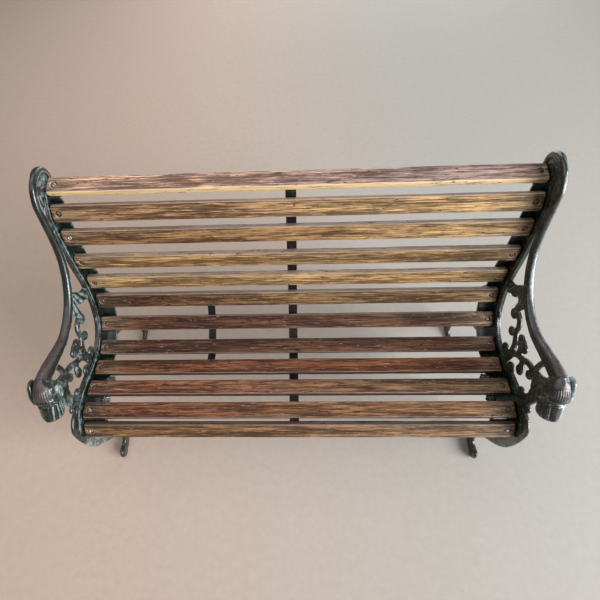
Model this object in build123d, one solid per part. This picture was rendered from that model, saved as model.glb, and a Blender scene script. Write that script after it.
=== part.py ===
from build123d import *
import os
from math import atan2, cos, degrees, hypot, radians, sin

# Garden bench: twelve wooden slats bolted across two cast-iron end frames.
# Row frame: +X along the slats, +Y from front to back, +Z up, origin on the floor under the middle.
# Side-view points are (distance behind the front of the casting, height above the floor), in mm.

# ---- slats ----
SLAT_LENGTH = 1219.0
SLAT_WIDTH = 46.0
SLAT_THICKNESS = 21.0
SLAT_EDGE_RADIUS = 2.5

# Where the middle of each slat's upper face lies, and how steeply the slat leans (0 = lying flat).
# They run from the slat that rolls over the front of the seat up to the one on top of the back.
SLAT_STATIONS = [
    ("slat_12_front", 30.0, 350.0, 50.0),
    ("slat_11_seat", 84.0, 386.0, 4.0),
    ("slat_10_seat", 152.0, 385.0, -8.0),
    ("slat_09_seat", 221.0, 369.0, -3.0),
    ("slat_08_seat", 287.0, 367.0, 13.0),
    ("slat_07_seat", 355.0, 395.0, 35.0),
    ("slat_06_back", 404.0, 453.0, 58.0),
    ("slat_05_back", 428.0, 523.0, 75.0),
    ("slat_04_back", 442.0, 611.0, 76.0),
    ("slat_03_back", 463.0, 697.0, 69.0),
    ("slat_02_back", 488.0, 768.0, 61.0),
    ("slat_01_top", 541.0, 820.0, 10.0),
]

# ---- bolts that hold each slat to the castings ----
BOLT_INSET = 16.0
BOLT_DIAMETER = 6.4
BOLT_HOLE_CLEARANCE = 0.8
BOLT_HEAD_DIAMETER = 12.6
BOLT_HEAD_HEIGHT = 3.2
BOLT_HEAD_ROUNDING = 1.4
HEAD_RECESS_CLEARANCE = 2.4
HEAD_RECESS_DEPTH = 4.0
WASHER_DIAMETER = 16.0
WASHER_THICKNESS = 1.6
NUT_ACROSS_FLATS = 11.0
NUT_HEIGHT = 5.4
BOLT_BEYOND_NUT = 4.0
THREAD_CLEARANCE = 0.05

# ---- straps under the slats and their screws ----
CENTRE_STRAP_WIDTH = 27.0
CENTRE_STRAP_THICKNESS = 5.0
CENTRE_STRAP_END_MARGIN = 4.0
REPAIR_STRAP_WIDTH = 23.0
REPAIR_STRAP_THICKNESS = 3.0
REPAIR_STRAP_END_MARGIN = 8.0
REPAIR_STRAP_X = -258.0
REPAIR_STRAP_SLATS = ("slat_09_seat", "slat_08_seat", "slat_07_seat", "slat_06_back")
STRAP_SCREW_DIAMETER = 4.2
STRAP_SCREW_HOLE_CLEARANCE = 0.6
STRAP_SCREW_HEAD_DIAMETER = 8.4
STRAP_SCREW_HEAD_HEIGHT = 2.6
STRAP_SCREW_BITE = 14.0
PILOT_HOLE_SPARE_DEPTH = 2.0

# ---- end castings ----
END_CLEARANCE = 2.5
RIM_THICKNESS = 15.0
RIM_BELOW_FLANGE = 3.0
FLANGE_THICKNESS = 8.0
SLAT_SIDE_CLEARANCE = 1.0
SLAT_POCKET_DEPTH = 0.5
PANEL_THICKNESS = 10.0
TRACERY_THICKNESS = 12.0
LEG_THICKNESS = 14.0
FOOT_WIDTH = 17.0
FOOT_INSET = 4.0

# How far the rim stands above the faces of the slats, from the front slat to the top one.
RIM_PROUD = [32.0, 32.0, 25.0, 21.0, 17.0, 18.0, 23.0, 20.0, 15.0, 14.0, 13.0, 14.0]

# How far the flange reaches in from the rim, from one slat to another.
FLANGE_RUNS = [
    ("slat_12_front", "slat_10_seat", 67.0),
    ("slat_10_seat", "slat_06_back", 46.0),
    ("slat_06_back", "slat_01_top", 33.0),
]

# Middle of the top rail, from the roll at the top of the back down and forward to the head.
RAIL_MIDDLE = [
    (572.0, 838.0), (536.0, 857.0), (502.0, 850.0), (477.0, 826.0), (458.0, 777.0), (440.0, 722.0),
    (416.0, 670.0), (381.0, 626.0), (338.0, 592.5), (288.0, 571.5), (232.0, 566.5), (170.0, 583.5),
    (113.0, 600.0), (84.0, 600.0),
]
RAIL_DEPTHS = [18.0, 20.0, 20.0, 20.0, 20.0, 20.0, 20.0, 20.0, 21.0, 22.0, 22.0, 30.0, 38.0, 38.0]
PANEL_RAIL_POINTS = 7
PANEL_SLATS = 4
ROLL_CENTRE = (540.0, 824.0)
ROLL_RADIUS = 42.0

# Width of the rail seen from above, at distances behind the front: it swells from the back to the head.
RAIL_INSET = 2.5
RAIL_WIDTHS = [(600.0, 16.0), (500.0, 16.0), (430.0, 21.0), (240.0, 26.0), (110.0, 34.0), (60.0, 36.0)]

# Head at the end of the arm: a turned shape about a line from the neck down to the nose.
HEAD_NECK = (104.0, 622.0)
HEAD_NOSE = (31.0, 510.0)
HEAD_RADII = [(0.0, 16.0), (0.2, 33.0), (0.42, 35.0), (0.62, 30.0), (0.85, 27.0), (1.0, 14.0)]
HEAD_INSET = 4.0
EAR_LENGTH = 50.0
EAR_WIDTH = 27.0
EAR_THICKNESS = 13.0
EAR_MIDDLE = (86.0, 598.0)
EAR_LEAN = 28.0
EAR_SPREAD = 30.0

# Legs, given by their front and back edges, and the feet they stand on, over the toe and down the heel.
FRONT_LEG_FRONT = [
    (8.0, 376.0), (2.0, 340.0), (0.0, 300.0), (2.0, 262.0), (12.0, 226.0), (28.0, 190.0), (45.0, 155.0),
    (57.0, 119.0), (65.0, 84.0), (67.0, 48.0),
]
FRONT_LEG_BACK = [
    (99.0, 48.0), (101.0, 90.0), (97.0, 140.0), (90.0, 190.0), (84.0, 250.0), (86.0, 310.0), (104.0, 366.0),
]
REAR_LEG_FRONT = [
    (352.0, 372.0), (374.0, 310.0), (399.0, 246.0), (429.0, 180.0), (454.0, 125.0), (472.0, 85.0), (489.0, 48.0),
]
REAR_LEG_BACK = [
    (521.0, 48.0), (507.0, 95.0), (491.0, 145.0), (465.0, 210.0), (448.0, 250.0), (433.0, 290.0), (424.0, 420.0),
]
FRONT_FOOT_TOP = [
    (13.0, 0.0), (4.0, 14.0), (3.0, 32.0), (12.0, 45.0), (25.0, 43.0), (40.0, 35.0), (55.0, 38.0), (67.0, 68.0),
]
FRONT_FOOT_HEEL = [(99.0, 68.0), (101.0, 30.0), (92.0, 0.0)]
REAR_FOOT_TOP = [
    (458.0, 0.0), (448.0, 7.0), (452.0, 15.0), (467.0, 18.0), (481.0, 24.0), (488.0, 40.0), (491.0, 66.0),
]
REAR_FOOT_HEEL = [(516.0, 66.0), (528.0, 30.0), (521.0, 0.0)]

# Openwork vine between the arm and the seat: strips as (distance, height, width), then round buds.
REAR_STEM = [
    (324.0, 514.0, 22.0), (307.0, 514.0, 22.0), (294.0, 512.0, 20.0),
    (283.0, 503.0, 17.0), (277.0, 490.0, 16.0), (276.0, 472.0, 18.0),
]
REAR_LINK = [
    (277.0, 482.0, 16.0), (263.0, 471.0, 18.0), (251.0, 459.0, 17.0), (242.0, 442.0, 14.0), (236.0, 400.0, 20.0),
]
HEAD_RING = [
    (159.0, 592.0, 20.0), (155.0, 560.0, 17.0), (155.0, 540.0, 17.0), (152.0, 520.0, 18.0), (146.0, 502.0, 20.0),
]
FRONT_STEM = [
    (150.0, 504.0, 18.0), (166.0, 501.0, 18.0), (181.0, 491.0, 18.0), (192.0, 478.0, 17.0),
    (203.0, 466.0, 18.0), (214.0, 455.0, 15.0), (222.0, 441.0, 13.0), (228.0, 400.0, 20.0),
]
FRONT_TWIG = [(195.0, 473.0, 14.0), (186.0, 462.0, 20.0), (178.0, 450.0, 26.0)]
RING_TWIG = [(152.0, 506.0, 18.0), (151.0, 494.0, 20.0), (150.0, 482.0, 24.0)]
FLOWER_CUP = [(229.0, 458.0, 32.0), (230.0, 478.0, 38.0), (230.0, 496.0, 42.0)]
VINE_STRIPS = [REAR_STEM, REAR_LINK, HEAD_RING, FRONT_STEM, FRONT_TWIG, RING_TWIG, FLOWER_CUP]
VINE_BUDS = [
    (323.0, 497.0, 16.0), (286.0, 460.0, 14.5), (177.0, 443.0, 15.5), (150.0, 481.0, 13.0),
    (217.0, 495.0, 14.5), (245.0, 496.0, 14.0), (198.0, 403.0, 17.5), (258.0, 403.0, 17.0),
    (123.0, 424.0, 14.0), (73.0, 430.0, 12.0),
]
VINE_FLOWER = (233.0, 461.0)
VINE_FLOWER_RADIUS = 20.0
VINE_FLOWER_EYE_HALF_WIDTH = 7.5
VINE_FLOWER_EYE_HALF_HEIGHT = 14.0
VINE_LEAF = [
    (307.0, 572.0), (309.0, 547.0), (314.0, 530.0), (320.0, 512.0), (332.0, 505.0), (338.0, 515.0),
    (341.0, 532.0), (348.0, 541.0), (354.0, 540.0), (357.0, 527.0), (363.0, 519.0), (378.0, 511.0),
    (388.0, 500.0), (402.0, 505.0), (410.0, 530.0), (392.0, 542.0), (368.0, 577.0), (374.0, 604.0), (345.0, 598.0),
]
NECK = [
    (90.0, 600.0), (116.0, 590.0), (117.0, 566.0), (121.0, 550.0), (130.0, 537.0), (141.0, 530.0), (152.0, 520.0),
    (150.0, 502.0), (138.0, 492.0), (126.0, 484.0), (116.0, 472.0), (110.0, 458.0), (80.0, 458.0), (78.0, 540.0),
]
POST = [(94.0, 474.0, 34.0), (94.0, 450.0, 33.0), (95.0, 424.0, 42.0), (96.0, 392.0, 58.0)]

# Scroll brackets between the legs and the underside of the seat.
FRONT_BRACKET = [(84.0, 214.0), (112.0, 224.0), (138.0, 254.0), (158.0, 300.0), (196.0, 352.0)]
REAR_BRACKET = [(428.0, 226.0), (396.0, 250.0), (364.0, 278.0), (332.0, 306.0), (300.0, 346.0)]
BRACKET_WIDTH = 15.0
BRACKET_EYES = [(118.0, 250.0), (394.0, 276.0)]
BRACKET_EYE_RADIUS = 15.0

# ---- sizes that follow from the ones above ----
HALF_DEPTH = (ROLL_CENTRE[0] + ROLL_RADIUS) / 2
SLAT_END = SLAT_LENGTH / 2
RIM_INNER_X = SLAT_END + END_CLEARANCE
CASTING_MIDDLE_X = RIM_INNER_X + RIM_THICKNESS / 2
RAIL_MIDDLE_X = CASTING_MIDDLE_X - RAIL_INSET
HEAD_MIDDLE_X = CASTING_MIDDLE_X - HEAD_INSET
FOOT_MIDDLE_X = CASTING_MIDDLE_X - FOOT_INSET
BOLT_X = SLAT_END - BOLT_INSET
BOLT_HOLE_DIAMETER = BOLT_DIAMETER + BOLT_HOLE_CLEARANCE
HEAD_RECESS_DIAMETER = BOLT_HEAD_DIAMETER + HEAD_RECESS_CLEARANCE
STRAP_SCREW_HOLE_DIAMETER = STRAP_SCREW_DIAMETER + STRAP_SCREW_HOLE_CLEARANCE
PILOT_HOLE_DEPTH = STRAP_SCREW_BITE + PILOT_HOLE_SPARE_DEPTH


def lean_vectors(lean):
    """Direction up along a slat's width, and straight out of its upper face, in the side view."""
    along = (cos(radians(lean)), sin(radians(lean)))
    outward = (-along[1], along[0])
    return along, outward


def station_point(station, along_by, outward_by):
    """A point near a slat, moved along its width and out of its face."""
    _, back, height, lean = station
    along, outward = lean_vectors(lean)
    return (
        back + along[0] * along_by + outward[0] * outward_by,
        height + along[1] * along_by + outward[1] * outward_by,
    )


def station_plane(station, x=0.0):
    """A plane on a slat's upper face: its x runs along the slat and its z out of the face."""
    _, back, height, lean = station
    outward = lean_vectors(lean)[1]
    return Plane(origin=(x, back - HALF_DEPTH, height), x_dir=(1, 0, 0), z_dir=(0, outward[0], outward[1]))


def side_plane(x):
    """The side view's plane at a distance x along the bench."""
    return Plane(origin=(x, -HALF_DEPTH, 0), x_dir=(0, 1, 0), z_dir=(1, 0, 0))


def side_slab(sketch, middle_x, thickness):
    """A side-view outline given a thickness across the bench."""
    return extrude(side_plane(middle_x - thickness / 2) * sketch, amount=thickness)


def closed_face(*edges):
    """One face inside a closed chain of edges."""
    return make_face(Curve() + list(edges))


def strip(middles, widths):
    """A smooth strip whose middle passes through the points, with its own width at each of them."""
    left, right = [], []
    for i, (y, z) in enumerate(middles):
        y0, z0 = middles[max(i - 1, 0)]
        y1, z1 = middles[min(i + 1, len(middles) - 1)]
        length = hypot(y1 - y0, z1 - z0)
        across = (-(z1 - z0) / length, (y1 - y0) / length)
        half = widths[i] / 2
        left.append((y + across[0] * half, z + across[1] * half))
        right.append((y - across[0] * half, z - across[1] * half))
    edge, other_edge = Spline(*left), Spline(*reversed(right))
    return closed_face(edge, Line(left[-1], right[-1]), other_edge, Line(right[0], left[0]))


def tapered_strip(points):
    """A smooth strip given as (distance, height, width) points."""
    return strip([(y, z) for y, z, _ in points], [width for _, _, width in points])


def disc(y, z, radius):
    """A round boss in the side view."""
    return Pos(y, z) * Circle(radius)


def bar_path(points, thickness):
    """A bent flat bar in the side view: straight runs of one thickness with rounded bends."""
    bar = Sketch()
    for (y0, z0), (y1, z1) in zip(points, points[1:]):
        run = Rectangle(hypot(y1 - y0, z1 - z0), thickness)
        bar += Pos((y0 + y1) / 2, (z0 + z1) / 2) * Rot(0, 0, degrees(atan2(z1 - z0, y1 - y0))) * run
    for y, z in points[1:-1]:
        bar += disc(y, z, thickness / 2)
    return bar


def seat_line(stations, below_face, end_margin=0.0):
    """Corner points of a line that lies flat under each slat, some way below the slats' faces."""
    points = []
    half = SLAT_WIDTH / 2
    for i, station in enumerate(stations):
        start = half - end_margin if i == 0 else half
        end = half - end_margin if i == len(stations) - 1 else half
        points.append(station_point(station, -start, -below_face))
        points.append(station_point(station, end, -below_face))
    return points


def bolt_cutter():
    """Shape of a bolt's hole through a slat and the flange, with the recess for its head."""
    depth = SLAT_THICKNESS + FLANGE_THICKNESS + WASHER_THICKNESS
    hole = Pos(0, 0, -depth / 2) * Cylinder(BOLT_HOLE_DIAMETER / 2, depth)
    recess = Pos(0, 0, -HEAD_RECESS_DEPTH / 2) * Cylinder(HEAD_RECESS_DIAMETER / 2, HEAD_RECESS_DEPTH)
    return hole + recess


def pilot_cutter(x=0.0):
    """Blind hole that a strap's screw bites into, from the back of a slat."""
    middle = -SLAT_THICKNESS + PILOT_HOLE_DEPTH / 2
    return Pos(x, 0, middle) * Cylinder(STRAP_SCREW_DIAMETER / 2 + THREAD_CLEARANCE, PILOT_HOLE_DEPTH)


def slat(station):
    """One wooden slat with worn edges, its bolt holes and its screw holes."""
    body = Pos(0, 0, -SLAT_THICKNESS / 2) * Box(SLAT_LENGTH, SLAT_WIDTH, SLAT_THICKNESS)
    body = fillet(body.edges().filter_by(Axis.X), SLAT_EDGE_RADIUS)
    for side in (-1, 1):
        body -= Pos(side * BOLT_X, 0, 0) * bolt_cutter()
    body -= pilot_cutter()
    if station[0] in REPAIR_STRAP_SLATS:
        body -= pilot_cutter(REPAIR_STRAP_X)
    return station_plane(station) * body


def slat_bolt():
    """Round-headed bolt, standing in its slat's recess and through the flange and nut."""
    top = -HEAD_RECESS_DEPTH + BOLT_HEAD_HEIGHT
    clamped = SLAT_THICKNESS - HEAD_RECESS_DEPTH + FLANGE_THICKNESS
    length = clamped + WASHER_THICKNESS + NUT_HEIGHT + BOLT_BEYOND_NUT
    head = Pos(0, 0, top - BOLT_HEAD_HEIGHT / 2) * Cylinder(BOLT_HEAD_DIAMETER / 2, BOLT_HEAD_HEIGHT)
    head = fillet(head.edges().group_by(Axis.Z)[-1], BOLT_HEAD_ROUNDING)
    shank = Pos(0, 0, -HEAD_RECESS_DEPTH - length / 2) * Cylinder(BOLT_DIAMETER / 2, length)
    return head + shank


def bolt_washer():
    """Washer under the flange."""
    middle = -SLAT_THICKNESS - FLANGE_THICKNESS - WASHER_THICKNESS / 2
    disc_solid = Cylinder(WASHER_DIAMETER / 2, WASHER_THICKNESS)
    return Pos(0, 0, middle) * (disc_solid - Cylinder(BOLT_HOLE_DIAMETER / 2, WASHER_THICKNESS))


def bolt_nut():
    """Hexagon nut under the washer."""
    start = -SLAT_THICKNESS - FLANGE_THICKNESS - WASHER_THICKNESS - NUT_HEIGHT
    hexagon = RegularPolygon(NUT_ACROSS_FLATS / 2, 6, major_radius=False)
    bore = Circle(BOLT_DIAMETER / 2 + THREAD_CLEARANCE)
    return Pos(0, 0, start) * extrude(hexagon - bore, amount=NUT_HEIGHT)


def strap_screw(strap_thickness):
    """Round-headed wood screw that holds a strap to the back of a slat."""
    head_top = -SLAT_THICKNESS - strap_thickness
    head = Pos(0, 0, head_top - STRAP_SCREW_HEAD_HEIGHT / 2) * Cylinder(
        STRAP_SCREW_HEAD_DIAMETER / 2, STRAP_SCREW_HEAD_HEIGHT
    )
    length = strap_thickness + STRAP_SCREW_BITE
    shank = Pos(0, 0, head_top + length / 2) * Cylinder(STRAP_SCREW_DIAMETER / 2, length)
    return head + shank


def strap(stations, middle_x, width, thickness, end_margin):
    """Flat iron strap bent to lie against the backs of the slats, with a screw hole under each."""
    path = seat_line(stations, SLAT_THICKNESS + thickness / 2, end_margin)
    bar = side_slab(bar_path(path, thickness), middle_x, width)
    for station in stations:
        hole = Pos(0, 0, -SLAT_THICKNESS) * Cylinder(STRAP_SCREW_HOLE_DIAMETER / 2, 4 * thickness)
        bar -= station_plane(station, middle_x) * hole
    return bar


def flange(stations, reach):
    """Ledge of the casting that reaches inward under the ends of some slats."""
    path = seat_line(stations, SLAT_THICKNESS + FLANGE_THICKNESS / 2)
    width = reach + RIM_THICKNESS / 2
    return side_slab(bar_path(path, FLANGE_THICKNESS), CASTING_MIDDLE_X - width / 2, width)


def slat_pocket():
    """Room for a slat and the gaps round it, cut into the castings as a shallow pocket at each end."""
    length = 2 * (RIM_INNER_X + SLAT_POCKET_DEPTH)
    width = SLAT_WIDTH + 2 * SLAT_SIDE_CLEARANCE
    return Pos(0, 0, -SLAT_THICKNESS / 2) * Box(length, width, SLAT_THICKNESS)


def rim_outline():
    """Edge of the casting beside the slat ends, from under the flange to above the slats."""
    low = SLAT_THICKNESS + FLANGE_THICKNESS + RIM_BELOW_FLANGE
    middles = [station_point(station, 0.0, (proud - low) / 2) for station, proud in zip(SLAT_STATIONS, RIM_PROUD)]
    return strip(middles, [proud + low for proud in RIM_PROUD])


def panel_outline():
    """Solid part of the casting between the top rail and the rim, up the back."""
    rail = RAIL_MIDDLE[:PANEL_RAIL_POINTS]
    rim = [station_point(station, 0.0, 0.0) for station in SLAT_STATIONS[-PANEL_SLATS:]]
    return closed_face(Spline(*rail), Line(rail[-1], rim[0]), Spline(*rim), Line(rim[-1], rail[0]))


def rail():
    """Top rail and arm, as its side view cut to the width it has from above."""
    widest = max(width for _, width in RAIL_WIDTHS)
    solid = side_slab(strip(RAIL_MIDDLE, RAIL_DEPTHS), RAIL_MIDDLE_X, widest)
    outer = [(RAIL_MIDDLE_X + width / 2, y - HALF_DEPTH) for y, width in RAIL_WIDTHS]
    inner = [(RAIL_MIDDLE_X - width / 2, y - HALF_DEPTH) for y, width in reversed(RAIL_WIDTHS)]
    plan = make_face(Polyline(*outer, *inner, close=True))
    above_rail = 2 * ROLL_CENTRE[1]
    return solid & extrude(plan, amount=above_rail)


def leg_outline(front_edge, back_edge):
    """A leg between its front and back edges, open at the top where it runs into the rim."""
    foot = Line(front_edge[-1], back_edge[0])
    top = Line(back_edge[-1], front_edge[0])
    return closed_face(Spline(*front_edge), foot, Spline(*back_edge), top)


def foot_outline(top, heel):
    """Side view of a foot with a flat sole, from its toe up and over and down its heel."""
    ankle = Line(top[-1], heel[0])
    sole = Line(heel[-1], top[0])
    return closed_face(Spline(*top), ankle, Spline(*heel), sole)


def vine_outline():
    """Leaf, stems, buds and flower of the openwork under the arm, with the neck and its post."""
    vine = closed_face(Polyline(*VINE_LEAF, close=True))
    vine += closed_face(Polyline(*NECK, close=True))
    for points in VINE_STRIPS:
        vine += tapered_strip(points)
    for bud in VINE_BUDS:
        vine += disc(*bud)
    vine += disc(*VINE_FLOWER, VINE_FLOWER_RADIUS)
    vine -= Pos(*VINE_FLOWER) * Ellipse(VINE_FLOWER_EYE_HALF_WIDTH, VINE_FLOWER_EYE_HALF_HEIGHT)
    vine += tapered_strip(POST)
    return vine


def bracket_outline():
    """Scroll brackets between the legs and the seat."""
    outline = strip(FRONT_BRACKET, [BRACKET_WIDTH] * len(FRONT_BRACKET))
    outline += strip(REAR_BRACKET, [BRACKET_WIDTH] * len(REAR_BRACKET))
    for y, z in BRACKET_EYES:
        outline += disc(y, z, BRACKET_EYE_RADIUS)
    return outline


def head():
    """Hound's head at the end of the arm, with an ear on each side."""
    length = hypot(HEAD_NOSE[0] - HEAD_NECK[0], HEAD_NOSE[1] - HEAD_NECK[1])
    profile = [(radius, share * length) for share, radius in HEAD_RADII]
    half_section = closed_face(Spline(*profile), Polyline(profile[-1], (0, length), (0, 0), profile[0]))
    turned = revolve(Plane.XZ * half_section, Axis.Z)
    aim = (0, HEAD_NOSE[0] - HEAD_NECK[0], HEAD_NOSE[1] - HEAD_NECK[1])
    neck = (HEAD_MIDDLE_X, HEAD_NECK[0] - HALF_DEPTH, HEAD_NECK[1])
    placed = Plane(origin=neck, x_dir=(1, 0, 0), z_dir=aim) * turned
    ear = Pos(*EAR_MIDDLE) * Rot(0, 0, EAR_LEAN) * Ellipse(EAR_LENGTH / 2, EAR_WIDTH / 2)
    for side in (-1, 1):
        placed += side_slab(ear, HEAD_MIDDLE_X + side * EAR_SPREAD, EAR_THICKNESS)
    return placed


def end_frame():
    """The casting at the +X end: legs, rim, flange, top rail, openwork arm and head, in one piece."""
    frame = side_slab(rim_outline(), CASTING_MIDDLE_X, RIM_THICKNESS)
    frame += side_slab(disc(*ROLL_CENTRE, ROLL_RADIUS), CASTING_MIDDLE_X, RIM_THICKNESS)
    frame += side_slab(panel_outline(), CASTING_MIDDLE_X, PANEL_THICKNESS)
    frame += rail()
    frame += side_slab(vine_outline(), CASTING_MIDDLE_X, TRACERY_THICKNESS)
    frame += side_slab(leg_outline(FRONT_LEG_FRONT, FRONT_LEG_BACK), CASTING_MIDDLE_X, LEG_THICKNESS)
    frame += side_slab(leg_outline(REAR_LEG_FRONT, REAR_LEG_BACK), CASTING_MIDDLE_X, LEG_THICKNESS)
    frame += side_slab(bracket_outline(), CASTING_MIDDLE_X, TRACERY_THICKNESS)
    frame += side_slab(foot_outline(FRONT_FOOT_TOP, FRONT_FOOT_HEEL), FOOT_MIDDLE_X, FOOT_WIDTH)
    frame += side_slab(foot_outline(REAR_FOOT_TOP, REAR_FOOT_HEEL), FOOT_MIDDLE_X, FOOT_WIDTH)
    names = [station[0] for station in SLAT_STATIONS]
    for first, last, reach in FLANGE_RUNS:
        frame += flange(SLAT_STATIONS[names.index(first):names.index(last) + 1], reach)
    for station in SLAT_STATIONS:
        frame -= station_plane(station) * slat_pocket()
        frame -= station_plane(station, BOLT_X) * bolt_cutter()
    return frame + head()


def placed_group(shape, x, stations=SLAT_STATIONS):
    """The same small piece at each of some slats, at one distance along the bench."""
    return Compound(children=[station_plane(station, x) * shape for station in stations])


def save(shape, name):
    """Write one node."""
    shape.label = name
    export_step(shape, os.path.join("parts", name + ".step"))


os.makedirs("parts", exist_ok=True)

right_end = end_frame()
save(right_end, "right_end_frame")
save(mirror(right_end, about=Plane.YZ), "left_end_frame")

for station in SLAT_STATIONS:
    save(slat(station), station[0])

for side_name, side in (("left", -1), ("right", 1)):
    save(placed_group(slat_bolt(), side * BOLT_X), side_name + "_slat_bolts")
    save(placed_group(bolt_washer(), side * BOLT_X), side_name + "_bolt_washers")
    save(placed_group(bolt_nut(), side * BOLT_X), side_name + "_bolt_nuts")

centre_strap = strap(
    SLAT_STATIONS, 0.0, CENTRE_STRAP_WIDTH, CENTRE_STRAP_THICKNESS, CENTRE_STRAP_END_MARGIN
)
save(centre_strap, "centre_strap")
save(placed_group(strap_screw(CENTRE_STRAP_THICKNESS), 0.0), "centre_strap_screws")

repair_stations = [station for station in SLAT_STATIONS if station[0] in REPAIR_STRAP_SLATS]
repair_strap = strap(
    repair_stations, REPAIR_STRAP_X, REPAIR_STRAP_WIDTH, REPAIR_STRAP_THICKNESS, REPAIR_STRAP_END_MARGIN
)
save(repair_strap, "repair_strap")
repair_screws = placed_group(strap_screw(REPAIR_STRAP_THICKNESS), REPAIR_STRAP_X, repair_stations)
save(repair_screws, "repair_strap_screws")
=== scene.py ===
import bpy
import numpy as np
from mathutils import Matrix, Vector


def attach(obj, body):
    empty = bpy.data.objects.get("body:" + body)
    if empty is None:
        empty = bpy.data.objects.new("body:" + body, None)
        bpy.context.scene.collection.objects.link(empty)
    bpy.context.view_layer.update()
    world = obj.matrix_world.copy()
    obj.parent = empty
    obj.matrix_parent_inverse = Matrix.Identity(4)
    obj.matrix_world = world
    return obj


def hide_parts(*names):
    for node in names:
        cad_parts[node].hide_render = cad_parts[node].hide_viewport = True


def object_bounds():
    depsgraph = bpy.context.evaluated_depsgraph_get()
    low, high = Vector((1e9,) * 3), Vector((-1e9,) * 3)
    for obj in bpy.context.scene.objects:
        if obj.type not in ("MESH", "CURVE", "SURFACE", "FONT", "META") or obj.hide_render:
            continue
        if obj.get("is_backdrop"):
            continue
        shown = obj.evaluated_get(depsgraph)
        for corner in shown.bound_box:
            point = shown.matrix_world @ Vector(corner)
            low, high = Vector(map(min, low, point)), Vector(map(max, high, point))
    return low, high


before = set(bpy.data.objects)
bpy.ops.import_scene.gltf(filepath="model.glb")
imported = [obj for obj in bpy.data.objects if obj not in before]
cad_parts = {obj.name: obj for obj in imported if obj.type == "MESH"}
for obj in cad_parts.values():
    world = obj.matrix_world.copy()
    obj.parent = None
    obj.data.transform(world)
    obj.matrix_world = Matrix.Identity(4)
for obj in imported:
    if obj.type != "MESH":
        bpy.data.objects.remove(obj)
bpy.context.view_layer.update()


# ---- top rails ----
# The rounded iron rail on top of each end casting: over the roll, down the back, out along the arm.
# Cast in one with the rest of the end, painted bottle green and worn to brown on top by hands.
# Points of the side view are (y, z) in mm, y behind the bench's front and z above the floor; x is in metres.
HALF_DEPTH = 0.291
CASTING_X = 0.6195
RAIL_X = 0.617
# (y, z, depth of the rail) from the roll down and forward to a last point hidden in the hound's head.
RAIL_PATH = [
    (548, 794, 16), (564, 804, 17), (571, 822, 18), (567, 841, 18), (555, 852, 18), (536, 857, 19),
    (502, 850, 20), (477, 826, 20), (458, 777, 20), (440, 722, 20), (416, 670, 20), (381, 626, 20),
    (338, 592.5, 21), (288, 571.5, 22), (232, 566.5, 22), (170, 583.5, 30), (113, 600, 38), (92, 602, 38),
    (76, 594, 30),
]
# (y, width of the rail there).
RAIL_WIDTHS = [(60, 36), (110, 34), (240, 26), (430, 21), (500, 16), (600, 16)]
RAIL_SAMPLES = 420
RAIL_SIDES = 56
RAIL_SQUARENESS = 2.7
RAIL_END_SHARE = 0.012
RAIL_END_LEAST = 0.02**0.5
RAIL_SINK_UP = 0.6
RAIL_SINK_ACROSS = 0.9
RAIL_BEAD_ANGLE = -14
# The right casting gets less bloom and less brown wear than the left: painted shade, its inner faces being
# turned from the key light.
RIGHT_BLOOM_LOSS_AS_SHADE = 0.55
RIGHT_WEAR_LOSS_AS_SHADE = 0.15
# Pale chalk on the outer faces of the right casting's plates, which face the key light: chalky paint and
# painted highlight.
OUTER_CHALK_AND_HIGHLIGHT = 0.36


def smooth(low, high, value):
    """0 below low, 1 above high, and s * s * (3 - 2 s) between them."""
    s = np.clip((value - low) / (high - low), 0.0, 1.0)
    return s * s * (3 - 2 * s)


def hump(value, middle, reach):
    """Bell of height 1 at middle: exp(-((value - middle) / reach) ** 2)."""
    return np.exp(-(((value - middle) / reach) ** 2))


def quarter_round(depth, radius):
    """0 at an edge, 1 from radius inwards, like a quarter circle: sqrt(1 - (1 - depth / radius) ** 2)."""
    return np.sqrt(1 - (1 - np.clip(depth / radius, 0, 1)) ** 2)


def full_turn(count):
    """Angles once round a section."""
    return np.linspace(0, 2 * np.pi, count, endpoint=False)[None, :]


def square_off(wave, power):
    """A sine or cosine made squarer: its size to a power below 1, its sign kept."""
    return np.sign(wave) * np.abs(wave) ** power


def ripple(seed, *scaled, count=6):
    """Smooth made-up relief from -1 to 1: the mean of sines of random mixes of the given coordinates."""
    pick = np.random.default_rng(seed)
    total = 0.0
    for _ in range(count):
        mix = sum(pick.uniform(-1, 1) * axis for axis in scaled)
        total = total + np.sin(mix + pick.uniform(0, 2 * np.pi))
    return total / count


def curve(points, count):
    """Cubic Hermite curve through points, with tangents by differences, resampled to even steps.
    Columns after y and z follow along."""
    p = np.asarray(points, float)
    at = np.r_[0, np.cumsum(np.linalg.norm(np.diff(p[:, :2], axis=0), axis=1))]
    m = np.gradient(p, at, axis=0)
    dense = np.linspace(0, at[-1], 40 * len(p))
    i = np.clip(np.searchsorted(at, dense, "right") - 1, 0, len(at) - 2)
    h = (at[i + 1] - at[i])[:, None]
    s = (dense - at[i])[:, None] / h
    q = (2 * s**3 - 3 * s**2 + 1) * p[i] + (s**3 - 2 * s**2 + s) * h * m[i]
    q = q + (3 * s**2 - 2 * s**3) * p[i + 1] + (s**3 - s**2) * h * m[i + 1]
    length = np.r_[0, np.cumsum(np.linalg.norm(np.diff(q[:, :2], axis=0), axis=1))]
    even = np.linspace(0, length[-1], count)
    return np.stack([np.interp(even, length, q[:, k]) for k in range(q.shape[1])], 1)


def outline_normals(path):
    """Unit vectors square to a side-view path, to the left of its direction turned clockwise: (t_z, -t_y)."""
    t = np.gradient(path[:, :2], axis=0)
    t = t / np.linalg.norm(t, axis=1)[:, None]
    return np.stack([t[:, 1], -t[:, 0]], 1)


def row_points(x, y, z):
    """Row-frame metres from x in metres and side-view y, z in mm."""
    x, y, z = np.broadcast_arrays(x, y, z)
    return np.stack([x, y / 1000 - HALF_DEPTH, z / 1000], -1)


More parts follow.
